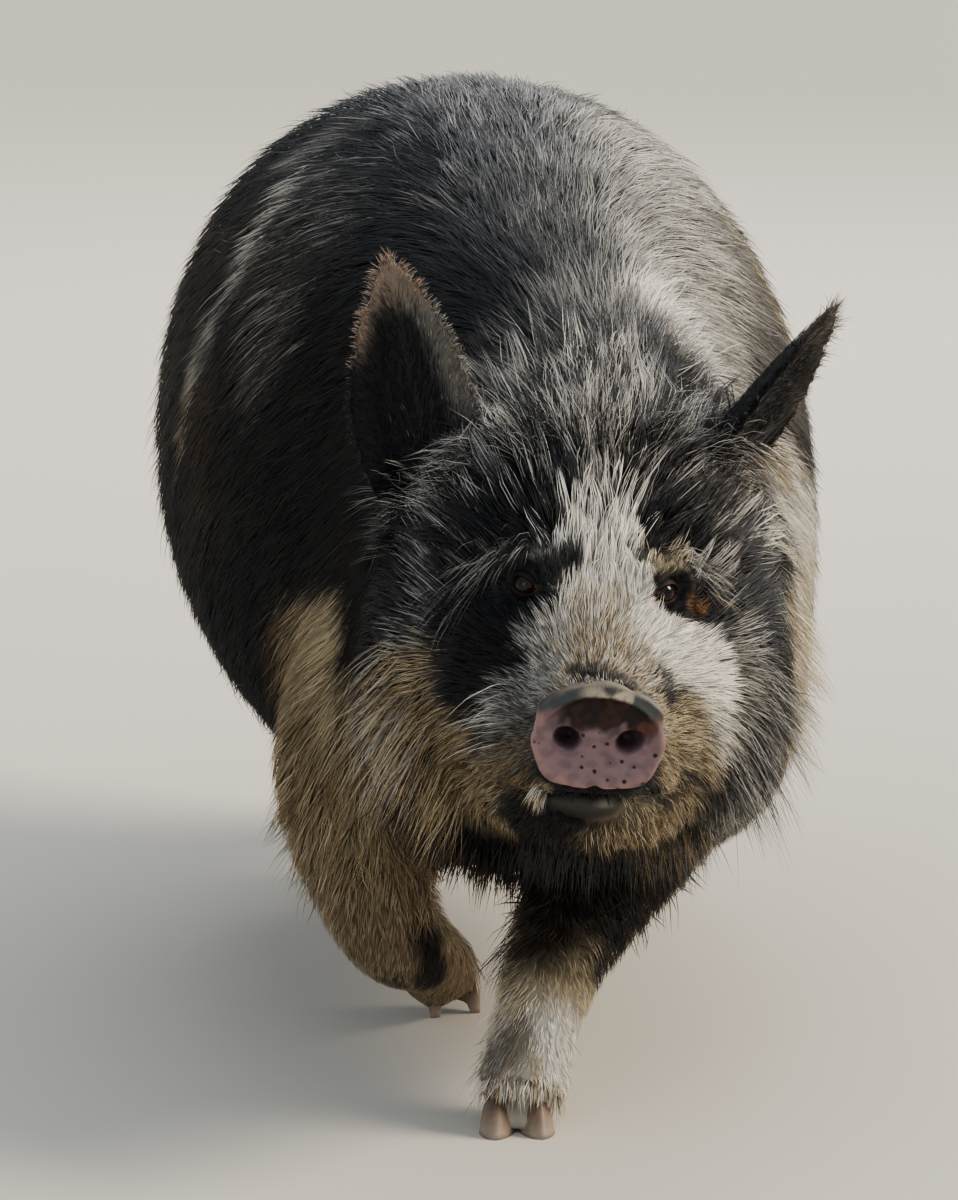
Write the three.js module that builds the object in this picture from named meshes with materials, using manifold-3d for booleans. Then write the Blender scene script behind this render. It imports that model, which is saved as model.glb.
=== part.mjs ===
// A life-size model of a KuneKune pig in mid-walk, in millimetres.
// The pig faces -Y, +Z is up and +X is its left side. The solids reach out to the tips of the coat.
// The body is first made straight and parted by thin cuts. Then the neck is bent, so that the head
// turns a little to the pig's right and tips over to its left.
import * as THREE from "three";
import { mergeVertices } from "three/addons/utils/BufferGeometryUtils.js";
import Module from "manifold-3d";

const wasm = await Module();
wasm.setup();

// ---- Driving dimensions ----

const GAP = 0.4; // clear space between two parts that meet
const AROUND_BODY = 32; // sides of the trunk, neck and head
const ROWS_PER_STATION = 2;
const AROUND_LEG = 12;
const ROWS_PER_JOINT = 3;

// The body from the end of the muzzle to the rump. Each station is a cross-section: its top line, its
// bottom line, half its width, the height where it is widest, how square it is above and below that
// (2 is an ellipse), and how far the spine swings to the pig's left.
const BODY = [
  { y: -632, top: 365, bottom: 291, half: 41, widest: 329, back: 2.2, belly: 2.2, swing: 0 },
  { y: -606, top: 374, bottom: 268, half: 47, widest: 324, back: 2.1, belly: 2.1, swing: 0 },
  { y: -576, top: 384, bottom: 242, half: 59, widest: 310, back: 2.0, belly: 2.1, swing: 0 },
  { y: -545, top: 398, bottom: 226, half: 74, widest: 300, back: 2.0, belly: 2.1, swing: 0 },
  { y: -514, top: 424, bottom: 216, half: 89, widest: 298, back: 2.0, belly: 2.1, swing: 0 },
  { y: -483, top: 463, bottom: 209, half: 108, widest: 298, back: 2.0, belly: 2.1, swing: 0 },
  { y: -448, top: 499, bottom: 203, half: 128, widest: 299, back: 2.05, belly: 2.2, swing: 0 },
  { y: -410, top: 521, bottom: 192, half: 144, widest: 298, back: 2.1, belly: 2.4, swing: 0 },
  { y: -370, top: 536, bottom: 176, half: 156, widest: 296, back: 2.1, belly: 2.6, swing: 0 },
  { y: -325, top: 553, bottom: 158, half: 168, widest: 300, back: 2.05, belly: 2.8, swing: 0 },
  { y: -270, top: 580, bottom: 146, half: 179, widest: 312, back: 2.0, belly: 3.0, swing: 0 },
  { y: -190, top: 618, bottom: 142, half: 195, widest: 332, back: 1.95, belly: 3.0, swing: 0 },
  { y: -80, top: 656, bottom: 143, half: 230, widest: 356, back: 2.0, belly: 3.0, swing: 2 },
  { y: 50, top: 680, bottom: 146, half: 254, widest: 372, back: 2.1, belly: 3.0, swing: 4 },
  { y: 180, top: 690, bottom: 152, half: 262, widest: 382, back: 2.1, belly: 2.9, swing: 7 },
  { y: 310, top: 684, bottom: 166, half: 257, widest: 390, back: 2.1, belly: 2.7, swing: 9 },
  { y: 430, top: 658, bottom: 200, half: 233, widest: 402, back: 2.1, belly: 2.4, swing: 10 },
  { y: 525, top: 608, bottom: 260, half: 188, widest: 416, back: 2.1, belly: 2.2, swing: 10 },
  { y: 590, top: 546, bottom: 336, half: 125, widest: 436, back: 2.1, belly: 2.1, swing: 10 },
  { y: 618, top: 492, bottom: 406, half: 56, widest: 450, back: 2.0, belly: 2.0, swing: 10 },
];

// Swellings on both sides of the body: where they are, how far they spread and how far they stand out.
const SWELLINGS = [
  { name: "shoulder", at: [180, -210, 270], spread: 90, out: 10 },
  { name: "ham", at: [185, 390, 340], spread: 130, out: 12 },
  { name: "jowl", at: [130, -420, 262], spread: 50, out: 14 },
  { name: "cheekbone", at: [88, -478, 352], spread: 34, out: 7 },
  { name: "brow", at: [44, -486, 446], spread: 24, out: 7 },
  { name: "lip", at: [48, -588, 292], spread: 24, out: 5 },
  { name: "eye hollow", at: [59, -508, 404], spread: 17, out: -6 },
];

// The snout's disc of gristle, which leans forward at its top.
const SNOUT = { y: -634, z: 329, half: 48.5, tall: 38, thick: 17, lean: 0.12 };
const NOSTRIL = { x: 21, z: 1, wide: 8.5, tall: 9.5, deep: 9 };

const EYE = { x: 50, y: -494, z: 411, radius: 12.5 };

// The mouth line runs back and down from under the snout to the corner of the lips.
const MOUTH = { frontY: -640, frontZ: 284, backY: -505, backZ: 272, width: 220 };

// Each ear stands on its root, leans to its tip and opens the way it faces.
const EAR = { half: 50, thick: 4.6, cup: 30, rows: 10, around: 14 };
const EARS = {
  right: { root: [-118, -352, 448], tip: [-160, -334, 620], facing: [-0.2, -1, 0.15] },
  left: { root: [90, -352, 478], tip: [176, -345, 606], facing: [0.95, -0.42, -0.1] },
};

// The planes where the head meets the neck and the neck meets the trunk. A plane faces the snout.
const HEAD_PLANE = { at: [0, -338, 400], facing: [0, -1, 0.06] };
const NECK_PLANE = { at: [0, -225, 380], facing: [0, -1, 0.32] };
const CHEST_PLANE = { at: [0, -40, 380], facing: [0, -1, 0.1] };
const LOIN_PLANE = { at: [0, 250, 380], facing: [0, -1, -0.12] };
const HEAD_TURN = THREE.MathUtils.degToRad(-7);
const HEAD_TIP = THREE.MathUtils.degToRad(4);
const NECK_PIVOT = new THREE.Vector3(0, -300, 420);

// Legs, from the point inside the trunk down to the foot. Each joint has its centre, its half width across
// the body and its half depth from front to back. parting is the joint where the upper and lower leg meet.
const LEGS = {
  foreleg_left: {
    joints: [
      { at: [104, -218, 290], wide: 60, deep: 76 },
      { at: [72, -262, 220], wide: 62, deep: 72 },
      { at: [26, -318, 172], wide: 57, deep: 58 },
      { at: [-30, -398, 120], wide: 42, deep: 42 },
      { at: [-62, -448, 66], wide: 34, deep: 33 },
      { at: [-74, -474, 26], wide: 34, deep: 31 },
    ],
    parting: 3,
    foot: { at: [-81, -490, 0], heading: -0.12, pitch: 0 },
  },
  foreleg_right: {
    joints: [
      { at: [-140, -206, 300], wide: 66, deep: 80 },
      { at: [-164, -232, 222], wide: 66, deep: 68 },
      { at: [-156, -244, 150], wide: 52, deep: 54 },
      { at: [-134, -240, 92], wide: 43, deep: 42 },
      { at: [-102, -188, 60], wide: 33, deep: 33 },
      { at: [-82, -148, 34], wide: 30, deep: 28 },
    ],
    parting: 3,
    foot: { at: [-76, -140, 0], heading: 0.25, pitch: 0.62, heel: [-20, -18] },
  },
  hindleg_left: {
    joints: [
      { at: [128, 380, 320], wide: 88, deep: 120 },
      { at: [142, 394, 230], wide: 68, deep: 88 },
      { at: [146, 446, 160], wide: 43, deep: 50 },
      { at: [142, 486, 112], wide: 33, deep: 39 },
      { at: [142, 478, 62], wide: 29, deep: 31 },
      { at: [142, 468, 24], wide: 30, deep: 31 },
    ],
    parting: 3,
    foot: { at: [142, 456, 0], heading: 0.1, pitch: 0 },
  },
  hindleg_right: {
    joints: [
      { at: [-128, 300, 320], wide: 86, deep: 118 },
      { at: [-134, 262, 228], wide: 67, deep: 86 },
      { at: [-118, 268, 160], wide: 43, deep: 50 },
      { at: [-98, 286, 112], wide: 33, deep: 39 },
      { at: [-84, 268, 62], wide: 29, deep: 31 },
      { at: [-78, 254, 24], wide: 30, deep: 31 },
    ],
    parting: 3,
    foot: { at: [-76, 240, 0], heading: -0.08, pitch: 0 },
  },
};

// A foot stands on two main claws, with two dewclaws behind and above them.
const CLAW = { long: 44, wide: 28, tall: 31, apart: 15.5, splay: 0.12, toeIn: 0.34 };
const DEWCLAW = { long: 17, wide: 13, tall: 18, apart: 17, back: 47, up: 30 };

const TAIL = [
  { at: [0, 585, 560], radius: 20 },
  { at: [-2, 632, 548], radius: 16 },
  { at: [-22, 664, 500], radius: 14 },
  { at: [-46, 670, 430], radius: 15 },
  { at: [-58, 664, 350], radius: 20 },
  { at: [-60, 658, 285], radius: 15 },
  { at: [-58, 655, 245], radius: 5 },
];

// ---- Solids ----

// A three.js geometry as a manifold solid, with its shared points merged.
function solidOf(geometry) {
  const bare = geometry.clone();
  bare.deleteAttribute("normal");
  bare.deleteAttribute("uv");
  const merged = mergeVertices(bare, 1e-3);
  return new wasm.Manifold(
    new wasm.Mesh({
      numProp: 3,
      vertProperties: merged.attributes.position.array,
      triVerts: new Uint32Array(merged.index.array),
    }),
  );
}

// A manifold solid as a three.js geometry.
function geometryOf(solid) {
  const mesh = solid.getMesh();
  const geometry = new THREE.BufferGeometry();
  geometry.setAttribute("position", new THREE.BufferAttribute(mesh.vertProperties, 3));
  geometry.setIndex(new THREE.BufferAttribute(mesh.triVerts, 1));
  geometry.computeVertexNormals();
  return geometry;
}

// The same solid with its surface moved outwards, used to cut clear space around it.
function grown(solid, by) {
  const geometry = geometryOf(solid);
  const positions = geometry.attributes.position;
  const normals = geometry.attributes.normal;
  const p = new THREE.Vector3();
  const n = new THREE.Vector3();
  for (let i = 0; i < positions.count; i++) {
    p.fromBufferAttribute(positions, i);
    p.addScaledVector(n.fromBufferAttribute(normals, i), by);
    positions.setXYZ(i, p.x, p.y, p.z);
  }
  return solidOf(geometry);
}

// A cut can leave a sliver beside the part: only the part is kept.
function largestOf(solid) {
  const bodies = solid.decompose();
  return bodies.reduce((a, b) => (a.volume() > b.volume() ? a : b));
}

// A closed tube: a ball's rings are laid out as sections, and its two poles close the first and last section.
// place(angle, t) gives the point of a section at t from 0 to 1, and middle(t) the section's centre.
function closedTube(around, rows, place, middle) {
  const ball = new THREE.SphereGeometry(1, around, rows + 2);
  ball.deleteAttribute("normal");
  ball.deleteAttribute("uv");
  const tube = mergeVertices(ball, 1e-5);
  const positions = tube.attributes.position;
  const p = new THREE.Vector3();
  for (let i = 0; i < positions.count; i++) {
    p.fromBufferAttribute(positions, i).normalize();
    const row = Math.round((Math.acos(p.y) / Math.PI) * (rows + 2));
    const t = (Math.min(Math.max(row, 1), rows + 1) - 1) / rows;
    const isPole = row === 0 || row === rows + 2;
    const to = isPole ? middle(t) : place(Math.atan2(p.x, p.z), t);
    positions.setXYZ(i, to.x, to.y, to.z);
  }
  const solid = solidOf(tube);
  if (solid.volume() > 0) return solid;
  tube.setIndex(Array.from(tube.index.array).reverse());
  return solidOf(tube);
}

function vectors(list) {
  return list.map((p) => new THREE.Vector3(...p));
}

// A smooth curve through a list of points, with one step of t for each of them.
function smooth(points) {
  return new THREE.CatmullRomCurve3(vectors(points), false, "catmullrom", 0.5);
}

// The half of a solid before or behind a plane, with half the gap taken off it.
function beforePlane(solid, plane) {
  const normal = new THREE.Vector3(...plane.facing).normalize();
  const offset = normal.dot(new THREE.Vector3(...plane.at)) + GAP / 2;
  return solid.trimByPlane(normal.toArray(), offset);
}

function behindPlane(solid, plane) {
  const normal = new THREE.Vector3(...plane.facing).normalize().negate();
  const offset = normal.dot(new THREE.Vector3(...plane.at)) + GAP / 2;
  return solid.trimByPlane(normal.toArray(), offset);
}

// ---- Body ----

const outline = smooth(BODY.map((s) => [s.y, s.top, s.bottom]));
const girth = smooth(BODY.map((s) => [s.half, s.widest, s.swing]));
const squareness = smooth(BODY.map((s) => [s.y, s.back, s.belly]));

function power(value, square) {
  return Math.sign(value) * Math.abs(value) ** (2 / square);
}

function spineAt(t) {
  return girth.getPoint(t).z;
}

// How far the swellings push a point of the body outwards.
function swelling(point) {
  let out = 0;
  for (const s of SWELLINGS) {
    for (const side of [-1, 1]) {
      const away = point.distanceTo(new THREE.Vector3(side * s.at[0], s.at[1], s.at[2]));
      out += s.out * Math.exp(-((away / s.spread) ** 2));
    }
  }
  return out;
}

function bodyMiddle(t) {
  const [y, top, bottom] = outline.getPoint(t).toArray();
  return new THREE.Vector3(spineAt(t), y, (top + bottom) / 2);
}

function bodySolid() {
  const place = (angle, t) => {
    const [y, top, bottom] = outline.getPoint(t).toArray();
    const [half, widest] = girth.getPoint(t).toArray();
    const [, back, belly] = squareness.getPoint(t).toArray();
    const sine = Math.sin(angle);
    const cosine = Math.cos(angle);
    const square = cosine > 0 ? back : belly;
    const reach = cosine > 0 ? top - widest : widest - bottom;
    const point = new THREE.Vector3(half * power(sine, square), y, widest + reach * power(cosine, square));
    const outwards = new THREE.Vector3(sine, 0, cosine);
    point.addScaledVector(outwards, swelling(point));
    return point.setX(point.x + spineAt(t));
  };
  return closedTube(AROUND_BODY, ROWS_PER_STATION * (BODY.length - 1), place, bodyMiddle);
}

// ---- Head ----

// The share of the head's turn that a point takes: none in the trunk, all of it in the head.
function neckShare(point) {
  const depthBehind = (plane) => {
    const normal = new THREE.Vector3(...plane.facing).normalize();
    return normal.dot(new THREE.Vector3(...plane.at)) - normal.dot(point);
  };
  const toHead = Math.max(depthBehind(HEAD_PLANE) - GAP, 0);
  const toTrunk = Math.max(-depthBehind(NECK_PLANE) - GAP, 0);
  return THREE.MathUtils.smoothstep(toTrunk / Math.max(toHead + toTrunk, 1e-9), 0, 1);
}

// Turns and tips the head of a straight body.
function bendNeck(solid) {
  const geometry = geometryOf(solid);
  const positions = geometry.attributes.position;
  const p = new THREE.Vector3();
  for (let i = 0; i < positions.count; i++) {
    p.fromBufferAttribute(positions, i);
    const share = neckShare(p);
    p.sub(NECK_PIVOT);
    p.applyAxisAngle(new THREE.Vector3(0, 1, 0), HEAD_TIP * share);
    p.applyAxisAngle(new THREE.Vector3(0, 0, 1), HEAD_TURN * share);
    p.add(NECK_PIVOT);
    positions.setXYZ(i, p.x, p.y, p.z);
  }
  return solidOf(geometry);
}

const SNOUT_PLANE = {
  at: [0, SNOUT.y + SNOUT.thick / 2, SNOUT.z],
  facing: [0, -Math.cos(SNOUT.lean), -Math.sin(SNOUT.lean)],
};

// The disc is an upright oval with a rounded rim, a little hollow in front, and two nostrils.
function snoutSolid() {
  const place = (angle, t) => {
    const turn = t * Math.PI;
    const rim = 1 - 0.3 * (1 - Math.sin(turn)) ** 2 - 0.25 * Math.max(t - 0.5, 0);
    const point = new THREE.Vector3(
      SNOUT.half * rim * Math.cos(angle),
      -Math.cos(turn) * SNOUT.thick * 0.5 * (1 + 0.7 * Math.max(t - 0.5, 0)),
      SNOUT.tall * rim * Math.sin(angle) * (Math.sin(angle) > 0 ? 1 : 0.94),
    );
    return leanSnout(point);
  };
  const middle = (t) => leanSnout(new THREE.Vector3(0, (t - 0.5) * SNOUT.thick * (t < 0.5 ? 0.86 : 1.3), 0));
  let disc = closedTube(20, 6, place, middle);
  for (const side of [-1, 1]) {
    const nostril = new THREE.SphereGeometry(1, 10, 6);
    nostril.scale(NOSTRIL.wide, NOSTRIL.deep, NOSTRIL.tall);
    nostril.translate(side * NOSTRIL.x, -SNOUT.thick / 2, NOSTRIL.z);
    nostril.rotateX(SNOUT.lean);
    nostril.translate(0, SNOUT.y, SNOUT.z);
    disc = disc.subtract(solidOf(nostril));
  }
  return beforePlane(disc, SNOUT_PLANE);
}

function leanSnout(point) {
  point.applyAxisAngle(new THREE.Vector3(1, 0, 0), SNOUT.lean);
  return point.add(new THREE.Vector3(0, SNOUT.y, SNOUT.z));
}

// A block under the mouth line, whose share of the head is the lower jaw.
function jawBlock() {
  const depth = 160;
  const front = MOUTH.frontY - 40;
  const slope = Math.atan2(MOUTH.frontZ - MOUTH.backZ, MOUTH.backY - MOUTH.frontY);
  const block = new THREE.BoxGeometry(MOUTH.width, MOUTH.backY - front, depth);
  block.translate(0, (MOUTH.backY + front) / 2 - MOUTH.backY, -depth / 2);
  block.rotateX(-slope);
  block.translate(0, MOUTH.backY, MOUTH.backZ);
  return solidOf(block);
}

function eyeSolid(side) {
  const ball = new THREE.SphereGeometry(EYE.radius, 12, 8);
  ball.translate(side * EYE.x, EYE.y, EYE.z);
  return solidOf(ball);
}

// An ear is a leaf whose edges curl forward, thickest along its middle.
function earSolid(ear) {
  const root = new THREE.Vector3(...ear.root);
  const along = new THREE.Vector3(...ear.tip).sub(root);
  const length = along.length();
  along.normalize();
  const forward = new THREE.Vector3(...ear.facing);
  forward.addScaledVector(along, -forward.dot(along)).normalize();
  const across = new THREE.Vector3().crossVectors(along, forward);
  const middle = (t) => root.clone().addScaledVector(along, length * t);
  const place = (angle, t) => {
    const leaf = Math.sin(Math.PI * (0.27 + 0.71 * t)) ** 0.85;
    const half = EAR.half * leaf;
    const cup = EAR.cup * Math.sqrt(leaf) * (1 - 0.45 * t);
    const curl = cup * Math.cos(angle) ** 2 - 0.35 * cup;
    const thick = EAR.thick * (1.25 - 0.6 * t) * Math.sin(angle);
    return middle(t)
      .addScaledVector(across, half * Math.cos(angle))
      .addScaledVector(forward, curl - thick);
  };
  return closedTube(EAR.around, EAR.rows, place, middle);
}

// ---- Legs, claws and tail ----

// A limb is a tube along a smooth curve through its joints.
function limbSolid(joints, around, rows) {
  const path = smooth(joints.map((j) => j.at));
  const size = smooth(joints.map((j) => [j.wide, j.deep, 0]));
  const place = (angle, t) => {
    const tangent = path.getTangent(t);
    const across = new THREE.Vector3(1, 0, 0);
    across.addScaledVector(tangent, -across.dot(tangent)).normalize();
    const fore = new THREE.Vector3().crossVectors(tangent, across);
    const [wide, deep] = size.getPoint(t).toArray();
    return path
      .getPoint(t)
      .addScaledVector(across, wide * Math.cos(angle))
      .addScaledVector(fore, deep * Math.sin(angle));
  };
  return closedTube(around, rows, place, (t) => path.getPoint(t));
}

// A claw stands on a flat sole with a pointed toe, and its walls lean back as they rise.
function clawSolid(size, side) {
  const toeIn = side * (CLAW.toeIn - CLAW.splay);
  const place = (angle, t) => {
    const shrink = 1 - 0.3 * t;
    const toe = Math.cos(angle);
    const pointed = 1 - 0.45 * Math.max(toe, 0) ** 2;
    const x = (size.wide / 2) * Math.sin(angle) * pointed * shrink;
    const y = (size.long / 2) * -toe * shrink + 0.24 * size.long * t;
    const point = new THREE.Vector3(x, y, size.tall * t);
    return point.applyAxisAngle(new THREE.Vector3(0, 0, 1), toeIn * 0.5);
  };
  const middle = (t) => new THREE.Vector3(0, 0.24 * size.long * t, size.tall * t);
  return closedTube(10, 3, place, middle);
}

function placeClaw(solid, foot, x, y, z) {
  const geometry = geometryOf(solid);
  geometry.translate(x, y, z);
  geometry.rotateX(foot.pitch);
  geometry.rotateZ(foot.heading);
  geometry.translate(foot.at[0], foot.at[1], foot.at[2]);
  return solidOf(geometry);
}

// The four claws of a foot by name. A heel that leans off the foot's middle takes the dewclaws with it.
function clawSolids(foot) {
  const claws = {};
  const [aside, behind] = foot.heel ?? [0, 0];
  const back = DEWCLAW.back + behind;
  for (const [name, side] of SIDES) {
    const main = clawSolid(CLAW, side);
    const dew = clawSolid(DEWCLAW, side);
    claws["claw_" + name] = placeClaw(main, foot, side * CLAW.apart, 0, 0);
    claws["dewclaw_" + name] = placeClaw(dew, foot, side * DEWCLAW.apart + aside, back, DEWCLAW.up);
  }
  return claws;
}

// A foot on its toes is lifted until its lowest claw stands a little below the floor, where it is cut flat.
const TOE_BITE = 2.5;

function lowestOf(solids) {
  return Math.min(...Object.values(solids).map((s) => s.boundingBox().min[2]));
}

function standFoot(foot) {
  const lift = foot.pitch ? -lowestOf(clawSolids(foot)) - TOE_BITE : 0;
  return { ...foot, at: [foot.at[0], foot.at[1], foot.at[2] + lift] };
}

const FLOOR = { at: [0, 0, 0], facing: [0, 0, 1] };

function aboveFloor(solid) {
  return solid.trimByPlane(FLOOR.facing, 0);
}

// ---- Assembly ----

const LOOKS = {
  blackCoat: { color: 0x262527, roughness: 0.7, metalness: 0 },
  greyCoat: { color: 0x5f5d5b, roughness: 0.7, metalness: 0 },
  creamCoat: { color: 0xc4ab83, roughness: 0.75, metalness: 0 },
  blackFace: { color: 0x3a3734, roughness: 0.7, metalness: 0 },
  brownEar: { color: 0x4a3a30, roughness: 0.75, metalness: 0 },
  pinkSnout: { color: 0xb98a88, roughness: 0.45, metalness: 0 },
  darkEye: { color: 0x2a1a12, roughness: 0.08, metalness: 0 },
  tanHorn: { color: 0xa27c66, roughness: 0.55, metalness: 0 },
};

const UPPER_LEG_LOOKS = {
  foreleg_left: LOOKS.blackCoat,
  foreleg_right: LOOKS.creamCoat,
  hindleg_left: LOOKS.blackCoat,
  hindleg_right: LOOKS.blackCoat,
};

const SIDES = [
  ["right", -1],
  ["left", 1],
];

const pig = new THREE.Group();

function addNode(group, name, solid, look) {
  const mesh = new THREE.Mesh(geometryOf(largestOf(solid)), new THREE.MeshStandardMaterial(look));
  mesh.name = name;
  group.add(mesh);
}

function addGroup() {
  const group = new THREE.Group();
  pig.add(group);
  return group;
}

// Trunk and neck. The trunk is in three lengths.
const body = bodySolid();
const bodyOutside = grown(body, GAP);
const bentOutside = grown(bendNeck(body), GAP);
const torso = addGroup();
const trunk = behindPlane(body, NECK_PLANE);
const behindChest = behindPlane(trunk, CHEST_PLANE);
addNode(torso, "trunk_chest", beforePlane(trunk, CHEST_PLANE), LOOKS.greyCoat);
addNode(torso, "trunk_barrel", beforePlane(behindChest, LOIN_PLANE), LOOKS.blackCoat);
addNode(torso, "trunk_rump", behindPlane(behindChest, LOIN_PLANE), LOOKS.blackCoat);
addNode(torso, "neck", bendNeck(beforePlane(behindPlane(body, HEAD_PLANE), NECK_PLANE)), LOOKS.greyCoat);

const tailJoints = TAIL.map((j) => ({ at: j.at, wide: j.radius, deep: j.radius }));
addNode(torso, "tail", limbSolid(tailJoints, 9, 12).subtract(bentOutside), LOOKS.blackCoat);

// Head, with the eyes let into it and the ears standing on it.
const face = addGroup();
let head = behindPlane(beforePlane(body, HEAD_PLANE), SNOUT_PLANE);
for (const [name, side] of SIDES) {
  head = head.subtract(grown(eyeSolid(side), GAP));
  addNode(face, "ear_" + name, bendNeck(earSolid(EARS[name]).subtract(bodyOutside)), LOOKS.brownEar);
  addNode(face, "eye_" + name, bendNeck(eyeSolid(side)), LOOKS.darkEye);
}
addNode(face, "head", bendNeck(head.subtract(grown(jawBlock(), GAP))), LOOKS.blackFace);
addNode(face, "lower_jaw", bendNeck(head.intersect(jawBlock())), LOOKS.blackFace);
addNode(face, "snout", bendNeck(snoutSolid()), LOOKS.pinkSnout);

// Legs. The trunk's shape is cut out of their tops, and the claws' shapes out of their feet.
for (const [name, leg] of Object.entries(LEGS)) {
  const group = addGroup();
  const claws = clawSolids(standFoot(leg.foot));
  const rows = ROWS_PER_JOINT * (leg.joints.length - 1);
  let limb = limbSolid(leg.joints, AROUND_LEG, rows).subtract(bentOutside);
  for (const claw of Object.values(claws)) limb = limb.subtract(grown(claw, GAP));
  limb = largestOf(limb);
  const path = smooth(leg.joints.map((j) => j.at));
  const at = leg.parting / (leg.joints.length - 1);
  const parting = { at: path.getPoint(at).toArray(), facing: path.getTangent(at).toArray() };
  addNode(group, name + "_upper", behindPlane(limb, parting), UPPER_LEG_LOOKS[name]);
  addNode(group, name + "_lower", beforePlane(limb, parting), LOOKS.creamCoat);
  for (const [claw, solid] of Object.entries(claws)) {
    addNode(group, name + "_" + claw, aboveFloor(solid), LOOKS.tanHorn);
  }
}

// The origin is on the floor, under the middle of the pig's box.
const box = new THREE.Box3().setFromObject(pig);
const centre = box.getCenter(new THREE.Vector3());
pig.position.set(-centre.x, -centre.y, -box.min.z);

export default pig;
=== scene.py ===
import math

import bmesh
import bpy
import numpy as np
from mathutils import Matrix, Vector
from mathutils.bvhtree import BVHTree
from mathutils.kdtree import KDTree


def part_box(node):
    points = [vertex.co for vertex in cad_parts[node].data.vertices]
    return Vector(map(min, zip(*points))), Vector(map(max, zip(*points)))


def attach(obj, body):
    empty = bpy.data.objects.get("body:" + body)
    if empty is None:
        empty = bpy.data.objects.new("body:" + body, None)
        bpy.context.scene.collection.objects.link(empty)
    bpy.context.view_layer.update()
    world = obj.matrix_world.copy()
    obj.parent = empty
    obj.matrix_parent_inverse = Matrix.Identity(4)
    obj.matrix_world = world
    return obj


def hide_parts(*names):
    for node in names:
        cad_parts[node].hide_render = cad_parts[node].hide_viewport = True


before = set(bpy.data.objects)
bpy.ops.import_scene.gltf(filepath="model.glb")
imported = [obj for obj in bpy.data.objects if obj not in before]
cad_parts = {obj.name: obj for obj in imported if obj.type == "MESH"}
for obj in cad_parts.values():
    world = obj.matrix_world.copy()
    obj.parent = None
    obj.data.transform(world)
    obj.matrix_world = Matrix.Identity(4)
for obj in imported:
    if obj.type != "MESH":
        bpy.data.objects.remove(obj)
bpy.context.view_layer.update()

# ---- The view ----
# A long lens looks from in front and a little above, so that the head comes towards it and the back
# rises behind.
CAMERA_AT = (-0.992, -5.735, 1.531)
CAMERA_TILT = 12.0
CAMERA_HEADING = -9.5
LENS = 222.6
FARTHEST_SEEN = 100


def placed(name, data):
    """A new object in the scene that holds this data."""
    made = bpy.data.objects.new(name, data)
    bpy.context.scene.collection.objects.link(made)
    return made


camera = placed("camera", bpy.data.cameras.new("camera"))
camera.data.lens = LENS
camera.data.clip_end = FARTHEST_SEEN
camera.location = CAMERA_AT
camera.rotation_euler = (math.radians(90 - CAMERA_TILT), 0, math.radians(CAMERA_HEADING))
bpy.context.scene.camera = camera

# ---- The studio ----
# A plain pale floor under an even sky. One broad soft key comes from the pig's left and above, with a
# weak fill from its right and a broad light behind that rims the coat.
FLOOR_SIZE = 60.0
FLOOR_COLOUR = "#cfcabf"
FLOOR_ROUGHNESS = 0.85
SKY_COLOUR = "#dfe6ee"
SKY_STRENGTH = 0.72
KEY_FROM = (0.80, -0.10, 0.62)
KEY_SOFTNESS = math.radians(24)
KEY_STRENGTH = 3.2
KEY_COLOUR = "#fff0dc"


def linear(code, alpha=1.0):
    """An sRGB hex colour as linear numbers."""
    parts = [int(code[i : i + 2], 16) / 255 for i in (1, 3, 5)]
    return [p / 12.92 if p <= 0.04045 else ((p + 0.055) / 1.055) ** 2.4 for p in parts] + [alpha]


def add(tree, kind, inputs=None, **settings):
    """Adds a node. An input is a number, a colour, or another node's output to link."""
    made = tree.nodes.new("ShaderNode" + kind)
    for name, value in settings.items():
        setattr(made, name, value)
    for name, value in (inputs or {}).items():
        if isinstance(value, bpy.types.NodeSocket):
            tree.links.new(value, made.inputs[name])
        else:
            made.inputs[name].default_value = value
    return made


def material(name):
    """A new material and its shader, with nothing else in it."""
    made = bpy.data.materials.new(name)
    made.use_nodes = True
    return made, made.node_tree, made.node_tree.nodes["Principled BSDF"]


def mesh_object(name, points, faces):
    """A new object with a mesh of these points and faces."""
    mesh = bpy.data.meshes.new(name)
    mesh.from_pydata(points, [], faces)
    return placed(name, mesh)


half = FLOOR_SIZE / 2
corners = [(-half, -half, 0), (half, -half, 0), (half, half, 0), (-half, half, 0)]
floor = mesh_object("floor", corners, [(0, 1, 2, 3)])
# Matt emulsion paint, rolled on: it gives no shine, only a soft even shade.
matt_paint, tree, shader = material("matt_floor_paint")
shader.inputs["Base Color"].default_value = linear(FLOOR_COLOUR)
shader.inputs["Roughness"].default_value = FLOOR_ROUGHNESS
floor.data.materials.append(matt_paint)

sky = bpy.data.worlds.new("studio")
sky.use_nodes = True
sky.node_tree.nodes["Background"].inputs["Color"].default_value = linear(SKY_COLOUR)
sky.node_tree.nodes["Background"].inputs["Strength"].default_value = SKY_STRENGTH
bpy.context.scene.world = sky

# name, place, size, power, colour
SOFTBOXES = [
    ("fill", (-2.6, -3.8, 1.6), 2.6, 26, "#e8f0ff"),
    ("rim", (0.9, 3.2, 2.6), 2.4, 60, "#ffffff"),
]
LIT = (0, -0.25, 0.35)


def aimed(at, to):
    """The rotation of a lamp that stands at one place and shines on another."""
    away = np.array(at) - np.array(to)
    spin = math.atan2(away[0], -away[1])
    return (math.acos(away[2] / np.linalg.norm(away)), 0, spin)


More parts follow.
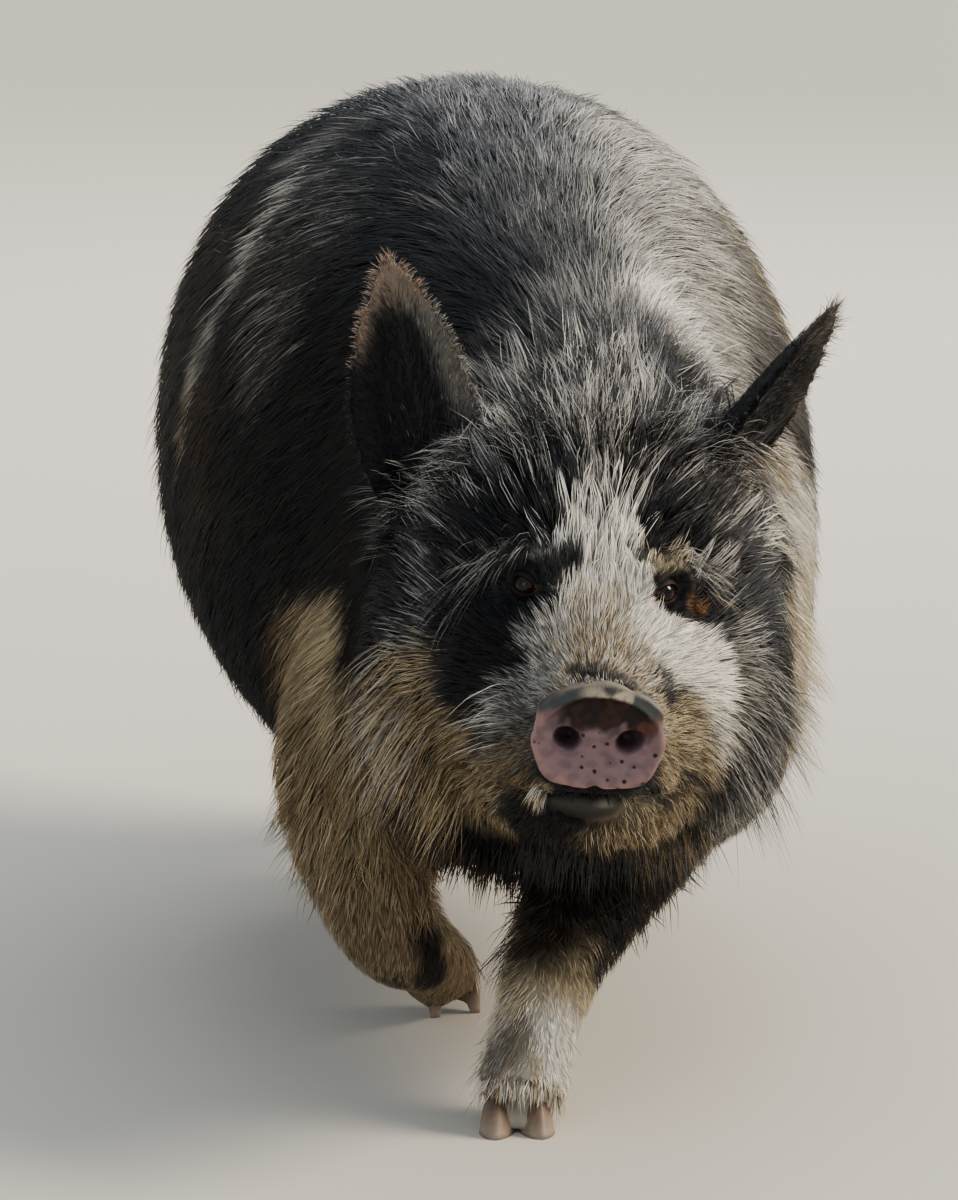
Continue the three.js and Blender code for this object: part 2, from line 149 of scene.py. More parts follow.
key = bpy.data.lights.new("key", "SUN")
key.energy = KEY_STRENGTH
key.angle = KEY_SOFTNESS
key.color = linear(KEY_COLOUR)[:3]
placed("key", key).rotation_euler = aimed(KEY_FROM, (0, 0, 0))
for name, at, size, power, colour in SOFTBOXES:
    softbox = bpy.data.lights.new(name, "AREA")
    softbox.size = size
    softbox.energy = power
    softbox.color = linear(colour)[:3]
    lamp = placed(name, softbox)
    lamp.location = at
    lamp.rotation_euler = aimed(at, LIT)
bpy.context.scene.view_settings.view_transform = "AgX"
bpy.context.scene.view_settings.look = "AgX - Medium High Contrast"

# ---- Hide ----
# One unbroken skin over trunk, neck, head, ears, legs and tail, bare on the snout, the lips and round the
# eyes. It is drawn over the flesh under it, and lies below the tips of the coat by the coat's depth.

# Places on the body are given on the pig standing straight, with its midline at x = 0: +x is its left,
# -y its front. The neck then turns and tips the head about one point, as the solids do.
HEAD_TURN = math.radians(-7)
HEAD_TIP = math.radians(4)
NECK_PIVOT = np.array([0, -0.300, 0.420])
EYE = np.array([0.050, -0.494, 0.411])
HEAD_PLANE = (np.array([0, -0.338, 0.400]), np.array([0, -1, 0.06]))
NECK_PLANE = (np.array([0, -0.225, 0.380]), np.array([0, -1, 0.32]))
STRAIGHTENING_ROUNDS = 5
WAVES = 7
WAVES_TOGETHER = 2.6


def unit(vectors):
    """The same directions with a length of one."""
    return vectors / np.maximum(np.linalg.norm(vectors, axis=-1, keepdims=True), 1e-12)


def step(low, high, value):
    """Rises smoothly from 0 at low to 1 at high."""
    t = np.clip((value - low) / (high - low), 0, 1)
    return t * t * (3 - 2 * t)


def neck_share(points):
    """How much of the head's turn each point takes: none in the trunk, all of it in the head."""
    to_head = (HEAD_PLANE[0] - points) @ unit(HEAD_PLANE[1])
    to_trunk = (points - NECK_PLANE[0]) @ unit(NECK_PLANE[1])
    to_head, to_trunk = np.maximum(to_head, 0), np.maximum(to_trunk, 0)
    return step(0, 1, to_trunk / np.maximum(to_head + to_trunk, 1e-9))


def turned(vectors, share):
    """Vectors of the straight pig turned as the neck turns them."""
    tip, turn = HEAD_TIP * share, HEAD_TURN * share
    x = vectors[:, 0] * np.cos(tip) + vectors[:, 2] * np.sin(tip)
    z = vectors[:, 2] * np.cos(tip) - vectors[:, 0] * np.sin(tip)
    y = vectors[:, 1]
    return np.stack([x * np.cos(turn) - y * np.sin(turn), x * np.sin(turn) + y * np.cos(turn), z], 1)


def unturned(vectors, share):
    """Vectors of the model turned back as they are on the straight pig."""
    tip, turn = HEAD_TIP * share, HEAD_TURN * share
    x = vectors[:, 0] * np.cos(turn) + vectors[:, 1] * np.sin(turn)
    y = vectors[:, 1] * np.cos(turn) - vectors[:, 0] * np.sin(turn)
    z = vectors[:, 2]
    return np.stack([x * np.cos(tip) - z * np.sin(tip), y, z * np.cos(tip) + x * np.sin(tip)], 1)


eye_boxes = [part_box("eye_left"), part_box("eye_right")]
between_eyes = sum((np.array(low) + np.array(high)) / 4 for low, high in eye_boxes)
straight_between = EYE * [0, 1, 1] - NECK_PIVOT
ORIGIN = between_eyes - turned(straight_between[None], np.ones(1))[0] - NECK_PIVOT


def bent(points):
    """Points of the straight pig as the model stands."""
    share = neck_share(points)
    return turned(points - NECK_PIVOT, share) + NECK_PIVOT + ORIGIN


def straight(points):
    """Points of the model as they lie on the straight pig."""
    points = points - ORIGIN
    found = points
    for _ in range(STRAIGHTENING_ROUNDS):
        found = unturned(points - NECK_PIVOT, neck_share(found)) + NECK_PIVOT
    return found


def ripple(points, size, seed):
    """A smooth random field from about -1 to 1, whose humps are about size across."""
    chance = np.random.default_rng(seed)
    waves = unit(chance.normal(size=(WAVES, 3))) * math.pi / size
    phases = chance.uniform(0, 2 * math.pi, WAVES)
    return np.sin(points @ waves.T + phases).sum(1) / WAVES_TOGETHER


# The skin is drawn over all the flesh in two grains, coarse on the body and fine on the head.
CLOSE_CUTS = 0.0006
SAME_POINT = 1e-6
BODY_GRAIN = 0.0085
HEAD_GRAIN = 0.0038
IN_HEAD = ("head", "lower_jaw", "snout", "ear_left", "ear_right", "eye_left", "eye_right", "neck")
CLAWS = [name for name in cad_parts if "claw" in name]
EYES = ["eye_left", "eye_right"]
FLESH = sorted(set(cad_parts) - set(CLAWS) - set(EYES))


def whole_shape(names):
    """The CAD solids of these parts in one mesh, each grown a little so that the cuts between them close."""
    joined = bmesh.new()
    for name in names:
        part = bmesh.new()
        part.from_mesh(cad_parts[name].data)
        bmesh.ops.remove_doubles(part, verts=part.verts, dist=SAME_POINT)
        bmesh.ops.recalc_face_normals(part, faces=part.faces)
        part.normal_update()
        for vertex in part.verts:
            vertex.co += vertex.normal * CLOSE_CUTS
        grown = bpy.data.meshes.new(name)
        part.to_mesh(grown)
        part.free()
        joined.from_mesh(grown)
        bpy.data.meshes.remove(grown)
    mesh = bpy.data.meshes.new("flesh")
    joined.to_mesh(mesh)
    joined.free()
    return placed("flesh", mesh)


def applied(made):
    """The object's mesh as its modifiers leave it."""
    view = bpy.context.evaluated_depsgraph_get()
    mesh = bpy.data.meshes.new_from_object(made.evaluated_get(view))
    made.modifiers.clear()
    made.data = mesh
    return mesh


def remeshed(names, grain):
    """These parts in one closed skin of small even faces."""
    made = whole_shape(names)
    even = made.modifiers.new("even", "REMESH")
    even.mode = "VOXEL"
    even.voxel_size = grain
    applied(made)
    return made


def numbers(collection, field, width=3, kind=np.float32):
    """A field of all of a mesh's vertices, edges or triangles as an array."""
    flat = np.zeros(len(collection) * width, kind)
    collection.foreach_get(field, flat)
    return flat.reshape(-1, width) if width > 1 else flat


def relaxed(points, edges, rounds, strength):
    """Points moved again and again towards the middle of their neighbours, by a share for each point."""
    one, two = edges.T
    size = len(points)
    near = np.maximum(np.bincount(edges.ravel(), minlength=size), 1)
    for _ in range(rounds):
        sums = [
            np.bincount(one, points[two, k], size) + np.bincount(two, points[one, k], size)
            for k in range(3)
        ]
        points = points + (np.stack(sums, 1) / near[:, None] - points) * strength[:, None]
    return points


body = remeshed([n for n in FLESH if n not in IN_HEAD or n == "neck"] + CLAWS, BODY_GRAIN)
hide = remeshed(IN_HEAD, HEAD_GRAIN)
union = hide.modifiers.new("union", "BOOLEAN")
union.object = body
union.operation = "UNION"
union.solver = "MANIFOLD"
applied(hide)
bpy.data.objects.remove(body)
hide.name = "hide"

# The skin is sunk under the coat by the depth that the coat has there. It stays above the floor by the
# thickness of a sole.
DEPTHS = {"trunk": 0.016, "neck": 0.016, "tail": 0.006, "ear": 0.0012, "snout": 0.0, "eye": 0.001}
CLAW_DEPTH = 0.0005
IN_CLAW_DEPTH = 0.0035
SOLE = 0.0025
LEG_DEPTHS = (0.0015, 0.012)
LEG_HEIGHTS = (0.02, 0.22)
MUZZLE_DEPTH = 0.0022
FACE_DEPTH = 0.0115
MUZZLE_ENDS = (-0.615, -0.42)
EYE_CLEARING = (0.010, 0.050)
PART_NAMES = sorted(FLESH + EYES + CLAWS)


def nearest_parts(points):
    """Which CAD part each point of the model lies nearest to, as a place in PART_NAMES."""
    corners, faces, owners = [], [], []
    for place, name in enumerate(PART_NAMES):
        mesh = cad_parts[name].data
        mesh.calc_loop_triangles()
        first = sum(len(c) for c in corners)
        corners.append(numbers(mesh.vertices, "co"))
        triangles = numbers(mesh.loop_triangles, "vertices", 3, np.int32)
        faces.append(triangles + first)
        owners += [place] * len(triangles)
    tree = BVHTree.FromPolygons(np.concatenate(corners).tolist(), np.concatenate(faces).tolist())
    return np.array([owners[tree.find_nearest(p)[2]] for p in points.tolist()])


def of_part(places, *starts):
    """True where a point's part has one of these names or starts of names."""
    chosen = [k for k, name in enumerate(PART_NAMES) if name.startswith(starts)]
    return np.isin(places, chosen)


def coat_depth(points, places):
    """How far the tips of the coat stand above the skin."""
    depth = np.full(len(points), DEPTHS["trunk"])
    for start in ("neck", "tail", "ear", "snout", "eye"):
        depth[of_part(places, start)] = DEPTHS[start]
    legs = of_part(places, "foreleg", "hindleg")
    thin, thick = LEG_DEPTHS
    depth[legs] = (thin + (thick - thin) * step(*LEG_HEIGHTS, points[:, 2]))[legs]
    face = of_part(places, "head", "lower_jaw")
    depth[face] = (MUZZLE_DEPTH + (FACE_DEPTH - MUZZLE_DEPTH) * step(*MUZZLE_ENDS, points[:, 1]))[face]
    for side in (-1, 1):
        away = np.linalg.norm(points - EYE * [side, 1, 1], axis=1)
        clear = 1 - step(*EYE_CLEARING, away)
        depth = depth + (DEPTHS["eye"] - depth) * clear * face
    return depth


def from_claws(points):
    """How far points of the model are from the nearest claw's box."""
    nearest = np.full(len(points), 1.0)
    for name in CLAWS:
        low, high = np.array(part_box(name))
        gap = np.maximum(np.maximum(low - points, points - high), 0)
        nearest = np.minimum(nearest, np.linalg.norm(gap, axis=1))
    return nearest


def put_points(mesh, points):
    """Moves a mesh's points to these places. Gives the way outward at each."""
    mesh.vertices.foreach_set("co", points.astype(np.float32).ravel())
    mesh.update()
    return numbers(mesh.vertex_normals, "vector").astype(float)


def refined(mesh, limit_at, rounds):
    """Splits each edge that is longer than limit_at its middle, and cuts the faces into triangles."""
    shape = bmesh.new()
    shape.from_mesh(mesh)
    bmesh.ops.triangulate(shape, faces=shape.faces)
    for _ in range(rounds):
        shape.verts.index_update()
        points = np.array([v.co[:] for v in shape.verts])
        ends = np.array([[v.index for v in e.verts] for e in shape.edges])
        long = np.linalg.norm(points[ends[:, 0]] - points[ends[:, 1]], axis=1)
        split = np.nonzero(long > limit_at(points[ends].mean(1)))[0]
        shape.edges.ensure_lookup_table()
        bmesh.ops.subdivide_edges(shape, edges=[shape.edges[k] for k in split], cuts=1)
        bmesh.ops.triangulate(shape, faces=[f for f in shape.faces if len(f.verts) > 3])
    shape.to_mesh(mesh)
    shape.free()
    mesh.update()


SNOUT_FRONT = np.array([0, -0.6425, 0.3305])
SNOUT_LEAN = 0.12
SNOUT_AXIS = np.array([0, -math.cos(SNOUT_LEAN), -math.sin(SNOUT_LEAN)])
SNOUT_HALF = np.array([0.0485, 0.037])
FINE_EYE = 0.0012
FINE_SNOUT = 0.0026
COARSE = 0.1
SPLITTING_ROUNDS = 3
SNOUT_ZONE = (-0.604, 0.262)
EYE_ZONE = 0.022
# Rounds and strength of smoothing, gentler the finer the part
TRUNK_SMOOTHING = (12, 0.5)
LIMB_SMOOTHING = (3, 0.4)
FACE_SMOOTHING = (8, 0.4)
EAR_SMOOTHING = (3, 0.3)
DEPTH_SMOOTHING = (4, 0.5)
SUNK_SMOOTHING = (3, 0.4)
CLAW_CLEARING = (0.006, 0.030)


def finest(points):
    """The longest edge wanted at a place: short round the eyes and on the snout and lips."""
    limit = np.full(len(points), COARSE)
    limit[(points[:, 1] < SNOUT_ZONE[0]) & (points[:, 2] > SNOUT_ZONE[1])] = FINE_SNOUT
    for side in (-1, 1):
        limit[np.linalg.norm(points - EYE * [side, 1, 1], axis=1) < EYE_ZONE] = FINE_EYE
    return limit


put_points(hide.data, straight(numbers(hide.data.vertices, "co").astype(float)))
refined(hide.data, finest, SPLITTING_ROUNDS)
edges = numbers(hide.data.edges, "vertices", 2, np.int32)


def smoothed(values, smoothing, where):
    """Values of the hide's points, evened out by this smoothing where it is wanted."""
    rounds, strength = smoothing
    return relaxed(values, edges, rounds, strength * where)


skin = numbers(hide.data.vertices, "co").astype(float)
part = nearest_parts(bent(skin))
on_head = of_part(part, "head", "lower_jaw", "snout", "eye", "ear")
on_limb = of_part(part, "foreleg", "hindleg", "tail")
skin = smoothed(skin, TRUNK_SMOOTHING, ~(on_head | on_limb))
clear_of_claws = step(*CLAW_CLEARING, from_claws(bent(skin)))
skin = smoothed(skin, LIMB_SMOOTHING, on_limb * clear_of_claws)
skin = smoothed(skin, FACE_SMOOTHING, of_part(part, "head", "lower_jaw"))
skin = smoothed(skin, EAR_SMOOTHING, of_part(part, "ear", "snout"))
outward = put_points(hide.data, skin)
depth = coat_depth(skin, part)
depth = CLAW_DEPTH + (depth - CLAW_DEPTH) * clear_of_claws
in_claw = np.isin(part, [PART_NAMES.index(name) for name in CLAWS])
depth[in_claw] = IN_CLAW_DEPTH
depth = smoothed(np.stack([depth] * 3, 1), DEPTH_SMOOTHING, ~(of_part(part, "snout") | in_claw))[:, 0]
skin = skin - outward * depth[:, None]
skin = smoothed(skin, SUNK_SMOOTHING, ~of_part(part, "ear", "snout", "eye") * clear_of_claws)

# Lids close over each eyeball, with a rim, a crease above and a fold below. The brow stands over it, so
# that the eye lies deep.
EYE_RADIUS = 0.0125
EYE_SUNK = 0.0050
GAZE = unit(np.array([0.52, -0.82, 0.14]))
FISSURE = (0.0100, 0.0056)
FISSURE_SLANT = 0.16
LID_THICK = 0.0015
LID_REACH = (0.0120, 0.0235)
LID_RIM = 0.0006
EYE_OPEN = (-0.0006, 0.0009)
BALL_BACK = 0.0040
CREASE_ABOVE = 0.0050
FOLD_BELOW = 0.0042
CREASE_WIDE = 0.0012
CREASE_DEEP = 0.0013
CREASE_REACH = 0.013
BROW_HIGH = 0.0078
BROW_AT = 0.0225
BROW_WIDE = 0.0085


def eye_axes(side):
    """Outward, upward and forward directions of an eye."""
    gaze = GAZE * [side, 1, 1]
    outwards = side * unit(np.cross([0, 0, 1], gaze))
    return outwards, side * np.cross(gaze, outwards), gaze


def eye_centre(side):
    """The middle of the eyeball on the straight pig's left (1) or right (-1)."""
    return (EYE - GAZE * EYE_SUNK) * [side, 1, 1]


def beside_eye(points, side):
    """Places outward, upward and forward of an eye, and the distance from the edge of its opening."""
    u, v, w = ((points - eye_centre(side)) @ np.array(eye_axes(side)).T).T
    slanted = v - FISSURE_SLANT * u
    half_open = FISSURE[1] * np.sqrt(np.clip(1 - (u / FISSURE[0]) ** 2, 0, 1))
    beyond = np.hypot(np.maximum(np.abs(u) - FISSURE[0], 0), slanted)
    margin = np.where(np.abs(u) < FISSURE[0], np.abs(slanted) - half_open, beyond)
    return u, v, w, slanted, half_open, margin


def with_lids(points, side):
    """The skin drawn over one eyeball and opened in front of it."""
    u, v, w, slanted, half_open, margin = beside_eye(points, side)
    around = np.hypot(u, v)
    near = (around < BROW_AT + 2 * BROW_WIDE) & (w > -0.012)
    ball = np.sqrt(np.clip(EYE_RADIUS**2 - around**2, 0, None))
    shell = np.sqrt(np.clip((EYE_RADIUS + LID_THICK) ** 2 - np.minimum(around, LID_REACH[0]) ** 2, 0, None))
    shell = shell - np.maximum(around - LID_REACH[0], 0) * 0.5
    lid = shell + (w - shell) * step(*LID_REACH, around)
    lid += LID_RIM * np.exp(-(((margin - 0.0011) / 0.0009) ** 2))
    crease = np.exp(-(((slanted - half_open - CREASE_ABOVE) / CREASE_WIDE) ** 2))
    crease += 0.7 * np.exp(-(((-slanted - half_open - FOLD_BELOW) / CREASE_WIDE) ** 2))
    lid -= CREASE_DEEP * crease * (np.abs(u) < CREASE_REACH)
    above = step(-0.35, 0.45, v / np.maximum(around, 1e-6))
    lid += BROW_HIGH * above * np.exp(-(((around - BROW_AT) / BROW_WIDE) ** 2))
    opening = 1 - step(*EYE_OPEN, margin)
    w = np.where(near, lid + (ball - BALL_BACK - lid) * opening, w)
    return eye_centre(side) + np.stack([u, v, w], 1) @ np.array(eye_axes(side))


for side in (-1, 1):
    skin = with_lids(skin, side)

# The snout's disc is a little hollow, with deep nostrils; a bare roll of skin stands above it. Under it
# the lips part in a short gap, which the hide's colours darken with painted shade.
NOSTRIL_AT = 0.0228
NOSTRIL_UP = 0.0010
NOSTRIL_HALF = (0.0108, 0.0090)
NOSTRIL_DEEP = 0.0100
NOSTRIL_LIP = 0.0012
DISC_HOLLOW = 0.0036
UPPER_HOLLOW = 0.0030
DISC_RIM = (0.0020, 0.0030)
DISC_FOLDS = 17
FOLD_HIGH = 0.0009
BRIDGE_HIGH = 0.0016
NOTCH_HIGH = 0.0030
CORNER_WIDE = 0.0042
ROLL_HIGH = 0.0085
ROLL_BEHIND = (0.0105, 0.0042)
LIP_FRONT = (-0.640, 0.284)
LIP_BACK = (-0.505, 0.272)
LIP_ENDING = 0.02
LIP_GROOVE = 0.0045
LIP_GROOVE_WIDE = 0.0026


def on_snout(points):
    """Sideways and upward places on the disc as shares of its half sizes, and the depth behind its front."""
    away = points - SNOUT_FRONT
    upwards = np.cross([-1, 0, 0], SNOUT_AXIS)
    return away[:, 0] / SNOUT_HALF[0], away @ upwards / SNOUT_HALF[1], -(away @ SNOUT_AXIS)


def from_nostril(x, z):
    """0 in the middle of a nostril and 1 at its edge."""
    u = (np.abs(x) * SNOUT_HALF[0] - NOSTRIL_AT) / NOSTRIL_HALF[0]
    v = (z * SNOUT_HALF[1] - NOSTRIL_UP) / NOSTRIL_HALF[1]
    return np.hypot(u, v - 0.25 * u)


def roll_share(points):
    """1 on the crest of the bare roll over the disc."""
    x, z, behind = on_snout(points)
    arch = step(0.05, 0.60, z) * step(1.02, 0.80, np.abs(x)) * (np.hypot(x, z) < 1.6)
    return np.exp(-(((behind - ROLL_BEHIND[0]) / ROLL_BEHIND[1]) ** 2)) * arch


def with_snout(points):
    """The snout with its hollow disc, rim, folds and nostrils, and the roll above it."""
    x, z, behind = on_snout(points)
    ring = np.hypot(x, z)
    disc = step(1.12, 1.02, ring) * step(0.013, 0.009, behind)
    hollow = DISC_HOLLOW * (1 - step(0.15, 0.92, ring))
    hollow = hollow + UPPER_HOLLOW * step(0.1, 0.6, z) * step(0.92, 0.78, ring)
    rim = (DISC_RIM[0] + DISC_RIM[1] * step(0.2, 0.6, z)) * np.exp(-(((ring - 0.95) / 0.085) ** 2))
    fold = np.sin(np.arctan2(z - 1.2, x) * DISC_FOLDS + 6 * ring) * step(0.0, 0.6, z) * (ring < 0.9)
    bridge = BRIDGE_HIGH * np.exp(-((x / 0.16) ** 2)) * step(0.5, 0.0, np.abs(z))
    pit = NOSTRIL_DEEP * step(1.0, 0.45, from_nostril(x, z))
    lip = NOSTRIL_LIP * np.exp(-(((from_nostril(x, z) - 1.15) / 0.22) ** 2))
    deep = hollow - rim - FOLD_HIGH * fold - bridge + pit - lip
    moved = points - SNOUT_AXIS * (deep * disc)[:, None]
    notch = NOTCH_HIGH * np.exp(-((x / 0.09) ** 2)) * step(-0.50, -1.0, z)
    moved = moved + [0, 0, 1] * (notch * disc)[:, None]
    corner = np.exp(-(((np.abs(x) - 0.66) / 0.24) ** 2)) * step(-0.25, -0.70, z) * step(0.75, 0.95, ring)
    drooping = unit(np.stack([np.sign(x) * 0.6, 0 * x, -0.8 + 0 * x], 1))
    moved = moved + drooping * (CORNER_WIDE * corner * disc)[:, None]
    uneven = 1 + 0.22 * np.sin(x * 9.0 + 0.8) * step(0.7, 0.3, np.abs(x))
    away = [points[:, 0] * 0.6, np.full(len(points), -0.012), points[:, 2] - SNOUT_FRONT[2]]
    outwards = unit(np.stack(away, 1))
    return moved + outwards * (ROLL_HIGH * uneven * roll_share(points))[:, None]


def lip_height(y):
    """How high the lips meet at this distance along the head."""
    share = (y - LIP_FRONT[0]) / (LIP_BACK[0] - LIP_FRONT[0])
    return LIP_FRONT[1] + (LIP_BACK[1] - LIP_FRONT[1]) * share


def lip_line(points):
    """1 on the line where the lips meet, falling to 0 a few millimetres from it."""
    off = points[:, 2] - lip_height(points[:, 1])
    front = step(LIP_BACK[0], LIP_BACK[0] - LIP_ENDING, points[:, 1])
    return np.exp(-((off / LIP_GROOVE_WIDE) ** 2)) * front


skin = with_snout(skin)
outward = put_points(hide.data, skin)
mouth = lip_line(skin) * of_part(part, "head", "lower_jaw")
gape = 1 + 1.6 * step(0.034, 0.018, np.abs(skin[:, 0])) * step(-0.596, -0.612, skin[:, 1])
skin = skin - outward * (mouth * LIP_GROOVE * gape)[:, None]

# Markings. Each is a stroke of hair colour from one place to another, drawn over those before it. Where its
# share is under 1 the hairs are mixed, as in a roan coat. All else is black.
HAIR = {
    "black": "#232326",
    # The blue-grey below is black hair with the sky's sheen painted in: a painted reflection.
    "slate": "#3f4247",
    "dark": "#2f2b28",
    "brown": "#54432f",
    "grey": "#807d77",
    "silver": "#bdbab3",
    "ginger": "#96683c",
    "fawn": "#a68f80",
    "tan": "#a08a68",
    "cream": "#cdbe9f",
    "white": "#f4f1e8",
}
# colour, share, from, to, radius, softness, with sizes in mm
MARKS = [
    # back and rump: black hair with a painted blue-grey sheen, and a painted silver sheen along the spine
    ("slate", 0.60, (0, 330, 690), (0, -220, 610), 130, 90),
    ("slate", 0.32, (0, 560, 600), (0, 600, 300), 190, 120),
    ("brown", 0.05, (0, 450, 300), (0, -100, 250), 300, 120),
    ("silver", 0.22, (20, 250, 695), (20, -200, 615), 60, 70),
    # roan saddle over the left shoulder: pale roan hair, its silver partly a painted sheen on the lit side
    ("silver", 0.66, (120, 130, 660), (110, -190, 575), 66, 70),
    ("white", 0.36, (125, 110, 655), (120, -190, 575), 58, 70),
    ("slate", 0.22, (110, 160, 660), (150, -120, 590), 60, 60),
    ("grey", 0.55, (185, -10, 590), (205, -90, 500), 60, 60),
    ("cream", 0.42, (188, 60, 590), (214, 20, 520), 34, 40),
    # withers; the white behind the left ear is a painted highlight on pale hair
    ("silver", 0.55, (10, -280, 572), (95, -250, 562), 40, 40),
    ("white", 0.90, (88, -270, 548), (66, -235, 570), 28, 30),
    # pale streaks down the right side
    ("silver", 0.66, (-45, 138, 686), (-130, 175, 650), 22, 34),
    ("white", 0.62, (-140, 125, 640), (-200, 85, 578), 20, 30),
    ("silver", 0.55, (-200, 90, 570), (-240, 120, 490), 24, 34),
    ("silver", 0.18, (-120, 60, 640), (-200, -40, 560), 60, 60),
    ("brown", 0.40, (-246, 80, 480), (-250, 30, 400), 40, 50),
    ("cream", 0.40, (-246, 130, 520), (-250, 130, 440), 20, 30),
    # white shoulder on the left
    ("cream", 0.92, (160, -296, 440), (182, -285, 262), 46, 34),
    ("white", 0.85, (160, -296, 430), (186, -285, 280), 38, 24),
    ("white", 0.90, (188, -250, 440), (218, -105, 400), 46, 34),
    ("cream", 0.88, (190, -250, 330), (214, -130, 330), 54, 34),
    ("white", 0.55, (196, -215, 400), (216, -130, 350), 40, 34),
    ("cream", 0.30, (130, -330, 300), (150, -300, 230), 40, 40),
    # poll and forehead
    ("silver", 0.28, (0, -350, 560), (0, -432, 512), 44, 44),
    ("white", 0.20, (2, -385, 545), (4, -450, 495), 32, 34),
    ("silver", 0.36, (40, -400, 520), (100, -372, 505), 34, 44),
    ("silver", 0.34, (-40, -400, 520), (-105, -390, 480), 44, 40),
    ("silver", 0.36, (-60, -440, 480), (-116, -430, 420), 28, 30),
    ("white", 0.30, (70, -420, 485), (112, -400, 450), 28, 30),
    ("silver", 0.34, (118, -425, 430), (150, -370, 400), 34, 40),
    ("silver", 0.42, (-112, -455, 390), (-128, -440, 350), 15, 20),
    # jowls; the blue-grey on the left one is black hair with a painted sheen
    ("slate", 0.55, (120, -450, 390), (140, -410, 280), 50, 40),
    ("grey", 0.45, (110, -468, 345), (136, -430, 270), 40, 36),
    ("silver", 0.40, (108, -475, 340), (130, -430, 262), 42, 36),
    ("cream", 0.55, (-122, -465, 322), (-150, -430, 270), 34, 34),
    ("tan", 0.62, (-118, -470, 312), (-84, -515, 264), 34, 26),
    ("cream", 0.45, (-104, -488, 300), (-70, -530, 268), 30, 26),
    ("brown", 0.30, (-118, -470, 300), (-84, -510, 256), 36, 26),
    # right side of the muzzle
    ("silver", 0.55, (-44, -582, 352), (-70, -548, 326), 20, 20),
    ("grey", 0.50, (-50, -600, 330), (-70, -560, 300), 24, 18),
    ("tan", 0.50, (-52, -600, 306), (-72, -556, 282), 18, 18),
    # blaze down to the snout
    ("silver", 0.28, (0, -450, 498), (0, -472, 476), 34, 26),
    ("white", 0.94, (-4, -496, 448), (10, -525, 420), 30, 20),
    ("white", 0.62, (10, -540, 400), (12, -612, 366), 50, 24),
    ("cream", 0.46, (10, -560, 388), (8, -618, 364), 46, 24),
    ("silver", 0.22, (10, -552, 392), (8, -618, 364), 48, 24),
    ("tan", 0.20, (6, -580, 378), (6, -622, 362), 34, 20),
    ("dark", 0.12, (6, -574, 384), (6, -616, 364), 42, 20),
    # blue-grey on the forehead: black hair with a painted sheen
    ("slate", 0.12, (0, -400, 520), (0, -470, 478), 34, 20),
    ("silver", 0.50, (-34, -545, 386), (-40, -590, 358), 18, 16),
    # dark patches round the eyes
    ("black", 0.96, (-60, -498, 408), (-84, -505, 356), 27, 16),
    ("black", 0.80, (-84, -500, 352), (-84, -520, 330), 18, 14),
    ("black", 0.75, (-38, -470, 470), (-44, -455, 480), 10, 16),
    ("black", 0.80, (44, -466, 470), (50, -452, 480), 11, 12),
    ("silver", 0.40, (66, -450, 476), (104, -430, 450), 22, 24),
    # left cheek
    ("cream", 0.62, (72, -545, 330), (92, -512, 300), 26, 18),
    ("cream", 0.80, (54, -604, 338), (66, -580, 296), 20, 14),
    ("tan", 0.25, (54, -604, 330), (66, -580, 290), 20, 14),
    ("white", 1.00, (36, -525, 400), (54, -524, 376), 14, 10),
    ("white", 0.95, (33, -516, 420), (38, -518, 396), 8, 6),
    ("white", 0.95, (38, -518, 398), (60, -512, 390), 8, 6),
    ("cream", 0.60, (40, -498, 432), (62, -488, 434), 8, 8),
    ("white", 1.00, (50, -530, 378), (98, -498, 346), 23, 14),
    ("white", 0.45, (84, -512, 332), (100, -490, 304), 16, 20),
    ("brown", 0.80, (68, -552, 350), (76, -536, 342), 8, 8),
    # chin and throat
    ("cream", 1.00, (-36, -612, 286), (-42, -602, 278), 10, 6),
    ("cream", 0.50, (26, -600, 280), (44, -590, 268), 12, 10),
    ("grey", 0.50, (26, -580, 254), (70, -525, 240), 30, 18),
    ("tan", 0.40, (26, -580, 254), (70, -525, 240), 30, 18),
    ("cream", 0.35, (30, -580, 262), (76, -525, 250), 22, 18),
    ("brown", 0.28, (12, -580, 246), (60, -515, 230), 26, 18),
    ("tan", 0.34, (60, -430, 200), (104, -392, 204), 34, 26),
    ("grey", 0.34, (60, -430, 200), (104, -392, 204), 36, 26),
    # brows
    ("silver", 0.45, (72, -478, 430), (104, -452, 412), 12, 12),
    ("ginger", 0.80, (74, -492, 408), (78, -488, 397), 5, 4),
    ("grey", 0.34, (-68, -482, 434), (-92, -466, 416), 14, 16),
    # right shoulder and brisket
    ("cream", 0.90, (-190, -225, 320), (-160, -300, 185), 58, 40),
    ("tan", 0.55, (-205, -190, 300), (-170, -280, 180), 58, 40),
    ("brown", 0.30, (-205, -190, 290), (-170, -280, 170), 62, 40),
    ("cream", 0.60, (-165, -330, 300), (-150, -350, 230), 30, 30),
    ("black", 0.96, (30, -330, 200), (-20, -385, 130), 70, 20),
    # painted shadow: a black line in the hair behind the roll over the snout
    ("black", 0.95, (-17, -607, 371), (22, -619, 366), 7, 5),
]
